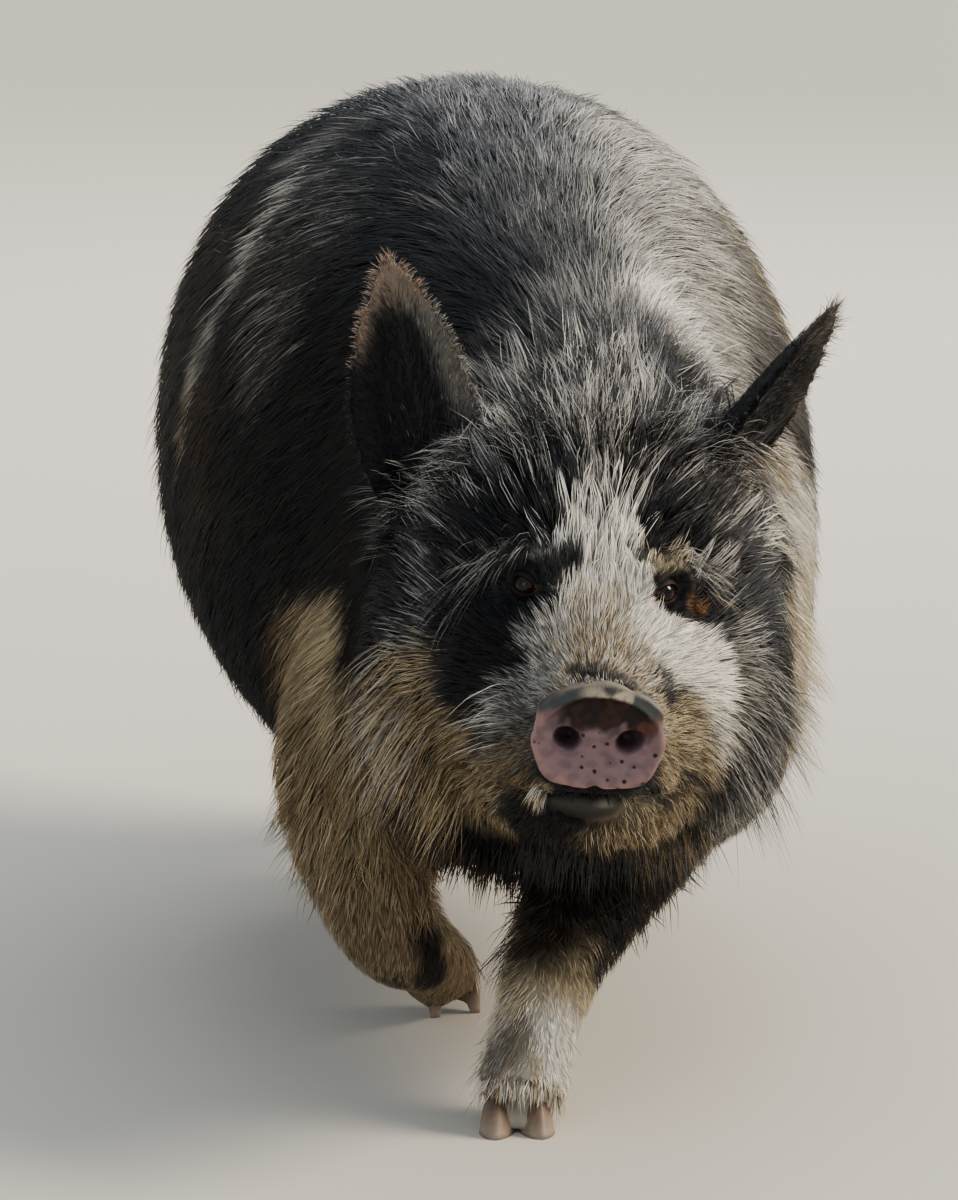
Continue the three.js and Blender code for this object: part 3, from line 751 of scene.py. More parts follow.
# Colours that a leg has between two heights: colour, share, part, heights, softness
SOCKS = [
    ("tan", 0.95, "foreleg_right", (-1, 0.235), 0.060),
    # On the right foreleg the cream and ginger shares are raised as painted light, so that the leg looks
    # sunlit over its own cream and tan.
    ("cream", 0.62, "foreleg_right", (-1, 0.225), 0.070),
    ("ginger", 0.08, "foreleg_right", (-1, 0.200), 0.070),
    ("fawn", 0.14, "foreleg_right", (-1, 0.200), 0.070),
    ("brown", 0.12, "foreleg_right", (-1, 0.220), 0.060),
    ("brown", 0.50, "foreleg_left", (0.105, 0.165), 0.050),
    ("cream", 0.95, "foreleg_left", (-1, 0.118), 0.040),
    ("white", 0.60, "foreleg_left", (-1, 0.090), 0.030),
    ("tan", 0.24, "foreleg_left", (-1, 0.118), 0.030),
    ("cream", 0.90, "hindleg", (-1, 0.115), 0.050),
    ("tan", 0.30, "hindleg", (-1, 0.125), 0.050),
    ("brown", 0.30, "hindleg", (0.10, 0.150), 0.050),
]
# Patches on the forelegs, drawn last, in the same terms as the markings above
LEG_MARKS = [
    ("black", 0.96, (-114, -276, 98), (-98, -237, 52), 14, 10),
    ("dark", 0.75, (-128, -256, 50), (-142, -258, 56), 12, 10),
    ("black", 0.95, (46, -400, 152), (36, -430, 112), 17, 12),
    ("white", 0.96, (4, -480, 84), (6, -486, 26), 21, 14),
    ("brown", 0.45, (-38, -486, 74), (-46, -480, 28), 17, 14),
    ("grey", 0.35, (-34, -490, 74), (-40, -486, 28), 16, 14),
]


def stroke_share(points, mark):
    """How much of a mark's colour the hair has at these places."""
    colour, share, start, end, radius, softness = mark
    start, end = np.array(start) / 1000, np.array(end) / 1000
    along = end - start
    place = np.clip((points - start) @ along / max(along @ along, 1e-12), 0, 1)
    away = np.linalg.norm(points - start - place[:, None] * along, axis=1)
    wander = ripple(points, max(radius, 12) / 1000, radius) * 0.22 + ripple(points, 0.012, 7) * 0.10
    edge = (radius / 1000) * (1 + wander)
    return share * step(edge + softness / 2000, edge - softness / 2000, away)


# Both ears are black inside, as painted shade in their cups, with a paler fringe of its own along each edge
# and round the tip.
# The places of root and tip, then the fringes of the edge to the pig's right, of the edge to its left and of
# the tip. Each has its width, how far up the ear it starts, and its colours with their shares.
EARS = {
    "ear_right": (
        ((-0.118, -0.352, 0.448), (-0.160, -0.334, 0.620)),
        (
            (0.016, 0.090, (("fawn", 0.85), ("cream", 0.30))),
            (0.030, 0.030, (("grey", 0.85), ("silver", 0.22), ("tan", 0.12))),
            (0.048, 0.095, (("fawn", 0.85), ("cream", 0.25))),
        ),
    ),
    "ear_left": (
        ((0.090, -0.352, 0.478), (0.176, -0.345, 0.606)),
        (
            (0.008, 0.070, (("dark", 0.40),)),
            (0.018, 0.040, (("brown", 0.55), ("grey", 0.45))),
            (0.050, 0.080, (("brown", 0.60), ("grey", 0.45))),
        ),
    ),
}
EAR_RISE = 0.045
EAR_SLICES = 14
# Markings show only faintly on the ears, which keeps them black: painted shade.
MARK_ON_EAR = 0.12
# Each ear is a flat blade: its root, its ways up, outward and sideways, and where its two edges lie at each
# level and its tip
ear_blades = {}
for name, ((root, tip), _) in EARS.items():
    cloud = skin[of_part(part, name)]
    root, tip = np.array(root), np.array(tip)
    axis = unit(tip - root)
    across = np.linalg.svd(cloud - cloud.mean(0), full_matrices=False)[2]
    flat = unit(across[2] - (across[2] @ axis) * axis)
    flat = flat * -np.sign(flat[1])
    aside = np.cross(axis, flat)
    place, beside = (cloud - root) @ axis, (cloud - root) @ aside
    cuts = np.linspace(place.min(), place.max(), EAR_SLICES + 1)
    slices = np.clip(np.digitize(place, cuts) - 1, 0, EAR_SLICES - 1)
    edges_of = np.array([[beside[slices == k].min(), beside[slices == k].max()] for k in range(EAR_SLICES)])
    ear_blades[name] = (root, axis, flat, aside, (cuts[1:] + cuts[:-1]) / 2, edges_of, place.max())


def inside_ear_edge(points, name):
    """How far each point is from an ear's right edge, left edge and tip, and the way to the nearest."""
    root, axis, flat, aside, levels, sides, top = ear_blades[name]
    place, beside = (points - root) @ axis, (points - root) @ aside
    low, high = np.interp(place, levels, sides[:, 0]), np.interp(place, levels, sides[:, 1])
    gaps = np.stack([beside - low, high - beside, top - place], 1)
    ways = np.stack([-aside, aside, axis])
    return gaps, ways[gaps.argmin(1)], place


def hair_colours(points, places, chance=None):
    """Hair colours at these places. chance, from 0 to 1 for each hair, picks one of the colours mixed there;
    without it the colours are blended, as they are on the skin."""
    colours = np.tile(linear(HAIR["black"])[:3], (len(points), 1))
    on_ear = of_part(places, "ear")
    layers = [(mark[0], stroke_share(points, mark) * np.where(on_ear, MARK_ON_EAR, 1.0)) for mark in MARKS]
    for name, (_, fringes) in EARS.items():
        gaps, _, place = inside_ear_edge(points, name)
        for k, (reach, start, fringe) in enumerate(fringes):
            rim = step(reach, 0.35 * reach, gaps[:, k]) * step(start, start + EAR_RISE, place)
            layers += [(colour, share * rim * of_part(places, name)) for colour, share in fringe]
    level = points[:, 2] + ripple(points, 0.03, 5) * 0.010 + ripple(points, 0.012, 6) * 0.006
    for colour, share, start, (low, high), softness in SOCKS:
        band = step(high + softness / 2, high - softness / 2, level) * step(low - softness / 2, low, level)
        layers.append((colour, share * band * of_part(places, start)))
    on_foreleg = of_part(places, "foreleg")
    layers += [(mark[0], stroke_share(points, mark) * on_foreleg) for mark in LEG_MARKS]
    for turn, (colour, share) in enumerate(layers):
        paint = np.array(linear(HAIR[colour])[:3])
        if chance is None:
            colours = colours + (paint - colours) * share[:, None]
        else:
            picked = (chance + turn * 0.618) % 1 < share
            colours[picked] = paint
    return colours


# The hide has the hair's colours, darker, and colours of its own where it is bare, with painted light and
# shade on the snout, lips and mouth.
HIDE_TAKES_HAIR = 0.45
HIDE_GREY = 0.006
EYE_CORNER = (0.0105, 0.0030)
SHADOW_BAND_BEHIND = (0.0200, 0.0040)
paint = hair_colours(skin, part)
# The zones of bare skin, each from 0 outside it to 1 inside
x, z, behind = on_snout(skin)
ring = np.hypot(x, z)
disc = step(1.14, 1.06, ring) * np.where(ring < 0.9, behind < 0.03, step(0.0085, 0.0060, behind))
BARE = {
    "snout": "#7f696b",
    "stain": "#1a120e",
    "rusty": "#6a4434",
    # nostril: painted shade in the nostril pits
    "nostril": "#3f3238",
    "rim": "#9a7a74",
    "roll": "#3f4243",
    # crest: a painted highlight along the top of the roll
    "crest": "#b3a790",
    # band: painted shadow, behind the roll over the disc and under the lower lip
    "band": "#1d1a18",
    # mottled pink with freckles, and painted shade towards the disc's left edge
    "mottle": "#5f4c52",
    "lip": "#3a3837",
    # wet: a painted highlight on the wet lower lip
    "wet": "#716962",
    "lid": "#2c2223",
    "corner": "#6a5046",
    # gap: painted shade in the mouth, along the line where the lips meet
    "gap": "#0a0807",
}
hide_colour = HIDE_TAKES_HAIR * paint + HIDE_GREY
lid_zone = np.zeros(len(skin))
corner_zone = np.zeros(len(skin))
for side in (-1, 1):
    u, v, w, slanted, half_open, margin = beside_eye(skin, side)
    near = (np.hypot(u, v) < 0.03) & (w > -0.01)
    lid_zone = np.maximum(lid_zone, step(0.0042, 0.0020, margin) * near)
    in_corner = np.exp(-((u + EYE_CORNER[0]) ** 2 + slanted**2) / EYE_CORNER[1] ** 2)
    corner_zone = np.maximum(corner_zone, near * in_corner)
patchy = ripple(skin, 0.010, 31) * 0.5 + ripple(skin, 0.004, 32) * 0.35
# The upper part of the disc is painted dark brown-black.
stain = disc * step(0.04, 0.34, z + 0.18 * patchy) * step(-0.85, -0.45, x) * step(1.05, 0.70, x)
rusty = disc * step(-0.1, 0.5, patchy) * step(0.05, 0.30, z) * (0.30 + 0.70 * step(0.3, 0.6, x))
mottle = disc * step(0.10, 0.80, ripple(skin, 0.0042, 33) + 0.5 * step(1.9, 1.2, from_nostril(x, z)))
mottle = mottle * step(0.45, 0.10, z)
# Painted shade: the disc darkens towards its left edge, low down.
mottle = np.maximum(mottle, 0.6 * disc * step(0.55, 0.90, x) * step(0.6, 0.2, z))
# Painted shade deep in the nostrils.
pit = disc * step(1.12, 0.70, from_nostril(x, z))
roll = roll_share(skin) * step(0.80, 0.88, ring)
brow_of_disc = disc * step(0.90, 0.95, ring) * step(0.42, 0.66, z + 0.06 * patchy)
roll = np.maximum(np.clip(1.6 * roll, 0, 1), brow_of_disc)
# The crest of the roll takes a painted highlight.
crest = roll * step(0.70, 0.86, z) * step(0.55, 0.20, np.abs(x - 0.12)) * step(-0.6, 0.2, patchy)
# A painted shadow in a band behind the roll over the disc.
band = np.exp(-(((behind - SHADOW_BAND_BEHIND[0]) / SHADOW_BAND_BEHIND[1]) ** 2)) * step(0.3, 0.7, z) * (ring < 1.7)
off = skin[:, 2] - lip_height(skin[:, 1])
chin = step(-0.594, -0.606, skin[:, 1]) * step(0.004, -0.001, off) * step(-0.034, -0.024, off)
chin = chin * step(0.032, 0.022, np.abs(skin[:, 0] + 0.004)) * of_part(part, "head", "lower_jaw")
# A painted highlight on the wet lower lip, right of its middle; it also makes the lip shinier.
wet = chin * np.exp(-(((skin[:, 0] - 0.011) / 0.006) ** 2)) * step(-0.009, -0.004, off)
# Colours and where each lies, drawn one over another
masks = [
    # painted shadow behind the roll
    ("band", 0.8 * band),
    ("lip", chin),
    # the lower chin: dark skin, deepened with painted shade under the lip
    ("band", 0.85 * chin * step(-0.006, -0.018, off)),
    # painted highlight on the wet lower lip
    ("wet", wet),
    ("snout", disc),
    ("rim", disc * np.exp(-(((ring - 0.98) / 0.07) ** 2)) * 0.7),
    ("mottle", 0.42 * mottle),
    ("stain", 0.95 * stain),
    ("rusty", 0.60 * rusty),
    # painted shade in the nostrils
    ("nostril", 0.85 * pit),
    ("roll", roll),
    # painted highlight on the crest of the roll
    ("crest", 0.8 * crest),
    ("lid", lid_zone),
    ("corner", corner_zone),
    # painted shade in the parted lips
    ("gap", mouth * step(0.045, 0.030, np.abs(skin[:, 0]))),
]
for name, mask in masks:
    tint = np.array(linear(BARE[name])[:3])
    hide_colour = hide_colour + (tint - hide_colour) * np.clip(mask, 0, 1)[:, None]
bare = np.max([lid_zone, roll, disc, chin, in_claw], axis=0)


def put_colours(mesh, name, colours):
    """Keeps a colour for each vertex under this name."""
    layer = mesh.color_attributes.new(name, "FLOAT_COLOR", "POINT")
    full = np.ones((len(colours), 4), np.float32)
    full[:, :3] = colours
    layer.data.foreach_set("color", full.ravel())


def put_values(mesh, name, values):
    """Keeps a number for each vertex under this name."""
    layer = mesh.attributes.new(name, "FLOAT", "POINT")
    layer.data.foreach_set("value", values.astype(np.float32))


put_colours(hide.data, "hide_colour", hide_colour)
put_values(hide.data, "disc", np.maximum(disc * (1 - 0.8 * stain), 0.3 * wet))
put_values(hide.data, "freckled", disc * step(0.30, 0.05, z))
hide.data.shade_smooth()
straight_hide = skin.copy()
triangles = numbers(hide.data.polygons, "vertices", 3, np.int32)
standing = bent(skin)
standing[:, 2] = np.maximum(standing[:, 2], SOLE)
put_points(hide.data, standing)

# Living hide: a fine net of creases 1.5 mm apart, matt between the hairs, and moist, pink and freckled on
# the gristle of the snout.
CREASE = 0.0015
FRECKLE = 0.0085
skin_hide, tree, shader = material("bristled_hide")
place = add(tree, "TexCoord").outputs["Object"]
colour = add(tree, "Attribute", attribute_name="hide_colour").outputs["Color"]
on_disc = add(tree, "Attribute", attribute_name="disc").outputs["Fac"]
on_spots = add(tree, "Attribute", attribute_name="freckled").outputs["Fac"]
blotch = add(tree, "TexNoise", {"Vector": place, "Scale": 90.0, "Detail": 4.0}).outputs["Fac"]
mottled = add(tree, "MixRGB", {"Fac": 0.28, "Color1": colour, "Color2": blotch}, blend_type="OVERLAY")
cells = add(tree, "TexVoronoi", {"Vector": place, "Scale": 1 / FRECKLE})
spot = add(
    tree,
    "MapRange",
    {"Value": cells.outputs["Distance"], "From Min": 0.15, "From Max": 0.25, "To Min": 1.0, "To Max": 0.0},
)
some = add(tree, "SeparateColor", {"Color": cells.outputs["Color"]}).outputs["Red"]
kept = add(tree, "Math", {0: some, 1: 0.62}, operation="LESS_THAN").outputs[0]
spotted = add(tree, "Math", {0: spot.outputs[0], 1: kept}, operation="MULTIPLY").outputs[0]
freckled = add(tree, "Math", {0: spotted, 1: on_spots}, operation="MULTIPLY").outputs[0]
dotted = add(tree, "MixRGB", {"Fac": freckled, "Color1": mottled.outputs[0], "Color2": linear("#2c191d")})
tree.links.new(dotted.outputs[0], shader.inputs["Base Color"])
wet = add(tree, "MapRange", {"Value": on_disc, "To Min": 0.62, "To Max": 0.38})
tree.links.new(wet.outputs[0], shader.inputs["Roughness"])
shader.inputs["Specular IOR Level"].default_value = 0.28
net = add(tree, "TexVoronoi", {"Vector": place, "Scale": 1 / CREASE}, feature="DISTANCE_TO_EDGE")
grain = add(tree, "TexNoise", {"Vector": place, "Scale": 0.5 / CREASE, "Detail": 3.0})
rough = add(tree, "Math", {0: net.outputs["Distance"], 1: grain.outputs["Fac"]}, operation="ADD").outputs[0]
bump = add(tree, "Bump", {"Strength": 0.35, "Distance": 0.0004, "Height": rough})
tree.links.new(bump.outputs[0], shader.inputs["Normal"])
hide.data.materials.clear()
hide.data.materials.append(skin_hide)
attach(hide, "root")
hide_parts(*FLESH)

# ---- Eyes ----
# Two brown eyeballs with a wide dark pupil, a bulging clear front and a wet shine. Each is a ball that sits
# deep in its socket, held by the lids.
IRIS = 0.0078
PUPIL = 0.0036
CORNEA_BULGE = 0.0013
RINGS = 40
AROUND_EYE = 48

# A living eyeball: a wet film over a clear front gives it one small sharp glint, and the iris is streaked.
wet_eye, tree, shader = material("wet_eyeball")
local = add(tree, "TexCoord").outputs["Object"]
flat = add(tree, "Mapping", {"Vector": local, "Scale": (1, 1, 0)}).outputs[0]
radius = add(tree, "VectorMath", {0: flat}, operation="LENGTH").outputs["Value"]
streaks = add(tree, "TexNoise", {"Vector": local, "Scale": 900.0, "Detail": 3.0}).outputs["Fac"]
ramp = add(tree, "ValToRGB")
ragged = add(tree, "Math", {0: streaks, 1: 0.06, 2: -0.03}, operation="MULTIPLY_ADD").outputs[0]
reach = add(tree, "MapRange", {"Value": radius, "From Max": EYE_RADIUS}).outputs[0]
tree.links.new(add(tree, "Math", {0: reach, 1: ragged}, operation="ADD").outputs[0], ramp.inputs["Fac"])
# From the middle of the eye outward: pupil, its edge, the iris, the iris's dark rim and the white
STOPS = [
    (PUPIL / EYE_RADIUS - 0.02, "#050303"),
    (PUPIL / EYE_RADIUS + 0.02, "#1d110b"),
    (IRIS / EYE_RADIUS - 0.14, "#33200f"),
    (IRIS / EYE_RADIUS - 0.02, "#150c08"),
    (IRIS / EYE_RADIUS + 0.05, "#33261f"),
]
while len(ramp.color_ramp.elements) < len(STOPS):
    ramp.color_ramp.elements.new(0.5)
for element, (at, code) in zip(ramp.color_ramp.elements, STOPS):
    element.position = at
    element.color = linear(code)
tree.links.new(ramp.outputs["Color"], shader.inputs["Base Color"])
shader.inputs["Roughness"].default_value = 0.12
shader.inputs["Specular IOR Level"].default_value = 0.2
shader.inputs["Coat Weight"].default_value = 0.45
shader.inputs["Coat Roughness"].default_value = 0.02

for side, name in ((1, "eye_left"), (-1, "eye_right")):
    turns = np.linspace(0, 2 * math.pi, AROUND_EYE, endpoint=False)
    dips = np.linspace(0, math.pi, RINGS + 1)[1:-1]
    dip, turn = np.meshgrid(dips, turns, indexing="ij")
    swell = EYE_RADIUS + CORNEA_BULGE * step(IRIS / EYE_RADIUS + 0.1, 0.1, np.sin(dip)) * (dip < math.pi / 2)
    ball = np.stack([np.sin(dip) * np.cos(turn), np.sin(dip) * np.sin(turn), np.cos(dip)], -1)
    ball = ball * swell[..., None]
    points = np.concatenate([ball.reshape(-1, 3), [[0, 0, EYE_RADIUS + CORNEA_BULGE], [0, 0, -EYE_RADIUS]]])
    rows = len(dips)
    front, rear = rows * AROUND_EYE, rows * AROUND_EYE + 1
    faces = []
    for k in range(AROUND_EYE):
        after = (k + 1) % AROUND_EYE
        faces.append((front, k, after))
        faces.append((rear, (rows - 1) * AROUND_EYE + after, (rows - 1) * AROUND_EYE + k))
        for r in range(rows - 1):
            low, high = r * AROUND_EYE, (r + 1) * AROUND_EYE
            faces.append((low + k, high + k, high + after, low + after))
    eyeball = mesh_object(name + "_ball", points.tolist(), faces)
    eyeball.data.shade_smooth()
    eyeball.data.materials.append(wet_eye)
    axes = np.array(eye_axes(side))
    axes[0] *= side
    centre = eye_centre(side)
    tips = bent(np.concatenate([centre[None], centre + axes * 0.001]))
    turned_axes = unit(tips[1:] - tips[0])
    eyeball.matrix_world = Matrix.Translation(tips[0].tolist()) @ Matrix(turned_axes.T.tolist()).to_4x4()
    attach(eyeball, "root")
    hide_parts(name)

# ---- Claws ----
# Each foot stands on two claws of horn, with two dewclaws behind them. The horn grows down in fine ridges
# from a dark band at the hair line and wears to a paler, scuffed edge.
HORN_RIDGE = 0.0016
SOLE_EDGE = 0.0005
NEARLY_FLAT = 0.02
# Grown keratin horn, worn smooth: a satin wall with faint ridges 1.6 mm apart.
horn, tree, shader = material("grown_horn")
place = add(tree, "TexCoord").outputs["Object"]
up_the_wall = add(tree, "Attribute", attribute_name="up_the_wall").outputs["Fac"]
cloud = add(tree, "TexNoise", {"Vector": place, "Scale": 120.0, "Detail": 4.0}).outputs["Fac"]
level = add(tree, "Math", {0: cloud, 1: 0.5, 2: -0.25}, operation="MULTIPLY_ADD").outputs[0]
shade = add(tree, "Math", {0: up_the_wall, 1: level}, operation="ADD").outputs[0]
ramp = add(tree, "ValToRGB", {"Fac": shade})
ramp.color_ramp.elements[0].color = linear("#97897a")
ramp.color_ramp.elements[1].color = linear("#2f2420")
middle = ramp.color_ramp.elements.new(0.55)
middle.color = linear("#74604f")
tree.links.new(ramp.outputs["Color"], shader.inputs["Base Color"])
lines = add(tree, "Mapping", {"Vector": place, "Scale": (0.25, 0.25, 1)}).outputs[0]
ridges = add(tree, "TexNoise", {"Vector": lines, "Scale": 1 / HORN_RIDGE, "Detail": 2.0}).outputs["Fac"]
bump = add(tree, "Bump", {"Strength": 0.5, "Distance": 0.0004, "Height": ridges})
tree.links.new(bump.outputs[0], shader.inputs["Normal"])
shader.inputs["Roughness"].default_value = 0.48

for name in CLAWS:
    shape = bmesh.new()
    shape.from_mesh(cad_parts[name].data)
    bmesh.ops.remove_doubles(shape, verts=shape.verts, dist=SAME_POINT)
    bmesh.ops.dissolve_limit(shape, angle_limit=NEARLY_FLAT, verts=shape.verts, edges=shape.edges)
    crease = shape.edges.layers.float.new("crease_edge")
    lowest = min(v.co.z for v in shape.verts)
    for edge in shape.edges:
        edge[crease] = float(all(v.co.z < lowest + SOLE_EDGE for v in edge.verts))
    mesh = bpy.data.meshes.new(name + "_horn")
    shape.to_mesh(mesh)
    shape.free()
    claw = placed(name + "_horn", mesh)
    rounded = claw.modifiers.new("rounded", "SUBSURF")
    rounded.levels = rounded.render_levels = 3
    applied(claw).shade_smooth()
    heights = numbers(claw.data.vertices, "co")[:, 2]
    share = (heights - heights.min()) / np.ptp(heights)
    put_values(claw.data, "up_the_wall", share)
    claw.data.materials.clear()
    claw.data.materials.append(horn)
    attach(claw, "root")
    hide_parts(name)

# ---- Coat ----
# Long, straight, rather coarse hair. Each hair is a thin closed spindle of keratin that leaves the skin at
# a low angle and then lies along the body, drawn to its neighbours in locks: short on the muzzle and feet,
# long on the cheeks, forehead, neck and flanks.
HAIRLESS = 0.35
hide_tree = BVHTree.FromPolygons(straight_hide.tolist(), triangles.tolist())
corner = straight_hide[triangles]
face_normal = unit(np.cross(corner[:, 1] - corner[:, 0], corner[:, 2] - corner[:, 0]))
face_area = 0.5 * np.linalg.norm(np.cross(corner[:, 1] - corner[:, 0], corner[:, 2] - corner[:, 0]), axis=1)
face_middle = corner.mean(1)
face_part = part[triangles[:, 0]]
face_bare = bare[triangles].max(1)
point_normal = np.zeros_like(straight_hide)
for k in range(3):
    np.add.at(point_normal, triangles[:, k], face_normal * face_area[:, None])
point_normal = unit(point_normal)
hairy = face_bare < HAIRLESS

MUZZLE_TIP = np.array([0, -0.655, 0.345])
DOWN = np.array([0, 0, -1.0])
BACK = np.array([0, 1.0, 0])
# Lengths of hair, and how much more some places have
BODY_HAIR = 0.058
BRISKET_MORE = 0.022
MUZZLE_HAIR = 0.008
BRIDGE_MORE = 0.014
CHEEK_MORE = 0.036
FOREHEAD_MORE = 0.018
BEARD_MORE = 0.022
BY_EYE = 0.22
LEG_HAIR = 0.018
UPPER_LEG_MORE = 0.028
EAR_HAIR = 0.011
EAR_RIM_MORE = 0.003
TAIL_HAIR = 0.045
TASSEL_MORE = 0.040


def lie_of_coat(points, normals, places):
    """The way the hair points at these places, along the skin."""
    x, y, z = points.T
    sideways = np.stack([x, np.zeros_like(x), np.zeros_like(x)], 1)
    side = step(0.005, 0.12, np.abs(x))[:, None]
    way = BACK * 0.75 + side * (DOWN * 1.0 + unit(sideways) * 0.30)
    front = step(-0.10, -0.30, y)[:, None] * step(0.42, 0.25, z)[:, None]
    way = way + front * (DOWN * 0.9)
    belly = step(-0.5, -0.9, normals[:, 2])[:, None]
    way = way + (BACK * 0.9 + DOWN * 0.15 - way) * belly
    in_front = of_part(places, "head", "lower_jaw", "snout", "eye", "neck")
    face = (step(-0.345, -0.40, y) * in_front)[:, None]
    from_muzzle = unit(points - MUZZLE_TIP)
    sag = step(0.40, 0.28, z)[:, None] * step(-0.58, -0.46, y)[:, None]
    fan = unit(from_muzzle + sideways * 3.5 * step(0.40, 0.46, z)[:, None] + DOWN * 0.75 * sag)
    way = way + (fan - way) * face
    for side in (-1, 1):
        from_eye = points - eye_centre(side)
        away = np.linalg.norm(from_eye, axis=1)
        close = (1 - step(0.016, 0.034, away))[:, None]
        way = way + (unit(from_eye) - way) * close * face
    for name, (root, axis, *_) in ear_blades.items():
        here = of_part(places, name)
        gaps, edge_way, _ = inside_ear_edge(points[here], name)
        outer = step(0.022, 0.004, gaps.min(1))[:, None]
        way[here] = axis * (1 - 0.35 * outer) + edge_way * (0.25 + 0.75 * outer)
    limb = of_part(places, "foreleg", "hindleg")
    low = (limb * step(0.28, 0.18, z))[:, None]
    way = way + (DOWN + BACK * 0.18 - way) * low
    tail = of_part(places, "tail")[:, None]
    way = way + (DOWN + BACK * 0.1 - way) * tail
    way = way - (way * normals).sum(1)[:, None] * normals
    return unit(way)


def coat_length(points, places):
    """How long the hair is at these places."""
    _, y, z = points.T
    length = BODY_HAIR + BRISKET_MORE * step(0.36, 0.24, z) * step(-0.10, -0.25, y)
    on_face = of_part(places, "head", "lower_jaw", "snout", "eye")
    grown = MUZZLE_HAIR + BRIDGE_MORE * step(-0.625, -0.59, y) + CHEEK_MORE * step(-0.49, -0.41, y)
    grown = grown + FOREHEAD_MORE * step(0.42, 0.48, z) * step(-0.51, -0.46, y)
    beard = BEARD_MORE * step(0.29, 0.25, z) * step(-0.60, -0.54, y)
    length = np.where(on_face, grown + beard, length)
    for side in (-1, 1):
        away = np.linalg.norm(points - eye_centre(side), axis=1)
        length = np.where(on_face, length * (BY_EYE + (1 - BY_EYE) * step(0.015, 0.045, away)), length)
    limb = of_part(places, "foreleg", "hindleg")
    length = np.where(limb, LEG_HAIR + UPPER_LEG_MORE * step(0.10, 0.26, z), length)
    for name in ear_blades:
        rim = step(0.014, 0.004, inside_ear_edge(points, name)[0].min(1))
        length = np.where(of_part(places, name), EAR_HAIR + EAR_RIM_MORE * rim, length)
    return np.where(of_part(places, "tail"), TAIL_HAIR + TASSEL_MORE * step(0.42, 0.36, z), length)


def turned_about(vectors, axes, angles):
    """Vectors turned about axes at right angles to them."""
    c, s = np.cos(angles)[:, None], np.sin(angles)[:, None]
    return vectors * c + np.cross(axes, vectors) * s


def scattered(chosen, count, chance):
    """Even random roots on the chosen triangles: the place, outward way and part of each."""
    faces = np.nonzero(chosen)[0]
    reach = np.cumsum(face_area[faces] * hairy[faces])
    at = (np.arange(count) + chance.uniform(0, 1, count)) / count * reach[-1]
    face = faces[np.minimum(np.searchsorted(reach, at), len(faces) - 1)]
    a, b = chance.uniform(0, 1, (2, count))
    fold = a + b > 1
    a, b = np.where(fold, 1 - a, a), np.where(fold, 1 - b, b)
    weights = np.stack([1 - a - b, a, b], 1)[..., None]
    corners = triangles[face]
    points = (straight_hide[corners] * weights).sum(1)
    normals = unit((point_normal[corners] * weights).sum(1))
    return points, normals, face_part[face]


def laid_down(paths, heights):
    """Paths drawn onto the skin and lifted to their heights over it, so that the coat follows the body."""
    for k in range(1, paths.shape[1]):
        for i, point in enumerate(paths[:, k].tolist()):
            spot, normal, _, _ = hide_tree.find_nearest(point)
            h = heights[i, k]
            paths[i, k] = (spot[0] + normal[0] * h, spot[1] + normal[1] * h, spot[2] + normal[2] * h)
    return paths


def gathered(paths, lock, pull):
    """Neighbouring hairs drawn together at their tips into locks, and the hair that leads each one's lock."""
    count = len(paths)
    locks = math.ceil(count / lock)
    near = KDTree(locks)
    order = np.random.default_rng(3).permutation(count)[:locks]
    for k, i in enumerate(order):
        near.insert(paths[i, 0], k)
    near.balance()
    owner = order[[near.find(p)[1] for p in paths[:, 0].tolist()]]
    along = np.linspace(0, 1, paths.shape[1]) ** 1.6
    share = pull * along[None, :, None]
    return paths + (paths[owner] - paths) * share, owner


def spindles(paths, normals, widths, flatness=0.55):
    """Closed spindles along the paths: a point, rings of three and a tip. Gives the points and triangles."""
    count, steps = paths.shape[:2]
    along = unit(np.gradient(paths, axis=1))
    across = unit(np.cross(along, normals[:, None, :]))
    over = np.cross(across, along)
    rings = steps - 2
    profile = np.sin(math.pi * (np.linspace(0, 1, steps)[1:-1] ** 0.55)) ** 0.6
    turns = np.array([0.5, 0.5 + 2 / 3, 0.5 + 4 / 3]) * math.pi
    ring = (
        across[:, 1:-1, None] * np.cos(turns)[:, None]
        + over[:, 1:-1, None] * (np.sin(turns) * flatness)[:, None]
    )
    ring = ring * (widths[:, None] * profile)[:, :, None, None] * 0.55 + paths[:, 1:-1, None]
    points = np.concatenate([paths[:, :1], ring.reshape(count, -1, 3), paths[:, -1:]], 1)
    pattern, last = [], 3 * rings + 1
    for k in range(3):
        after = (k + 1) % 3
        pattern.append((0, 1 + after, 1 + k))
        pattern.append((last, last - 3 + k, last - 3 + after))
        for r in range(rings - 1):
            low, high = 1 + 3 * r, 4 + 3 * r
            pattern.append((low + k, low + after, high + after))
            pattern.append((low + k, high + after, high + k))
    starts = (np.arange(count) * points.shape[1])[:, None, None]
    return points, (np.array(pattern)[None] + starts).reshape(-1, 3)


def unwrapped(points, axis):
    """Roots laid out flat round an axis: round it from 0 to 1 and along it from 0 to 1."""
    middle, along, up = axis
    away = points - middle
    side = np.cross(along, up)
    round_it = np.arctan2(away @ side, away @ up) / (2 * math.pi) + 0.5
    distance = away @ along
    along_it = (distance - distance.min()) / max(np.ptp(distance), 1e-6)
    return MAP_MARGIN + (1 - 2 * MAP_MARGIN) * np.stack([round_it, along_it], 1)


MAP_MARGIN = 0.02
TUFT_PATCH = 0.003
LEAST_DEPTH = 0.0018
ROOT_SUNK = 0.0008
FULL_WIDTH_AT = 0.04
HAIR_VARIES = 0.30
OVER_FLOOR = 0.0005
ROOT_PAINTED_SHADE = 0.45
TIP_PAINTED_LIGHT = 1.1

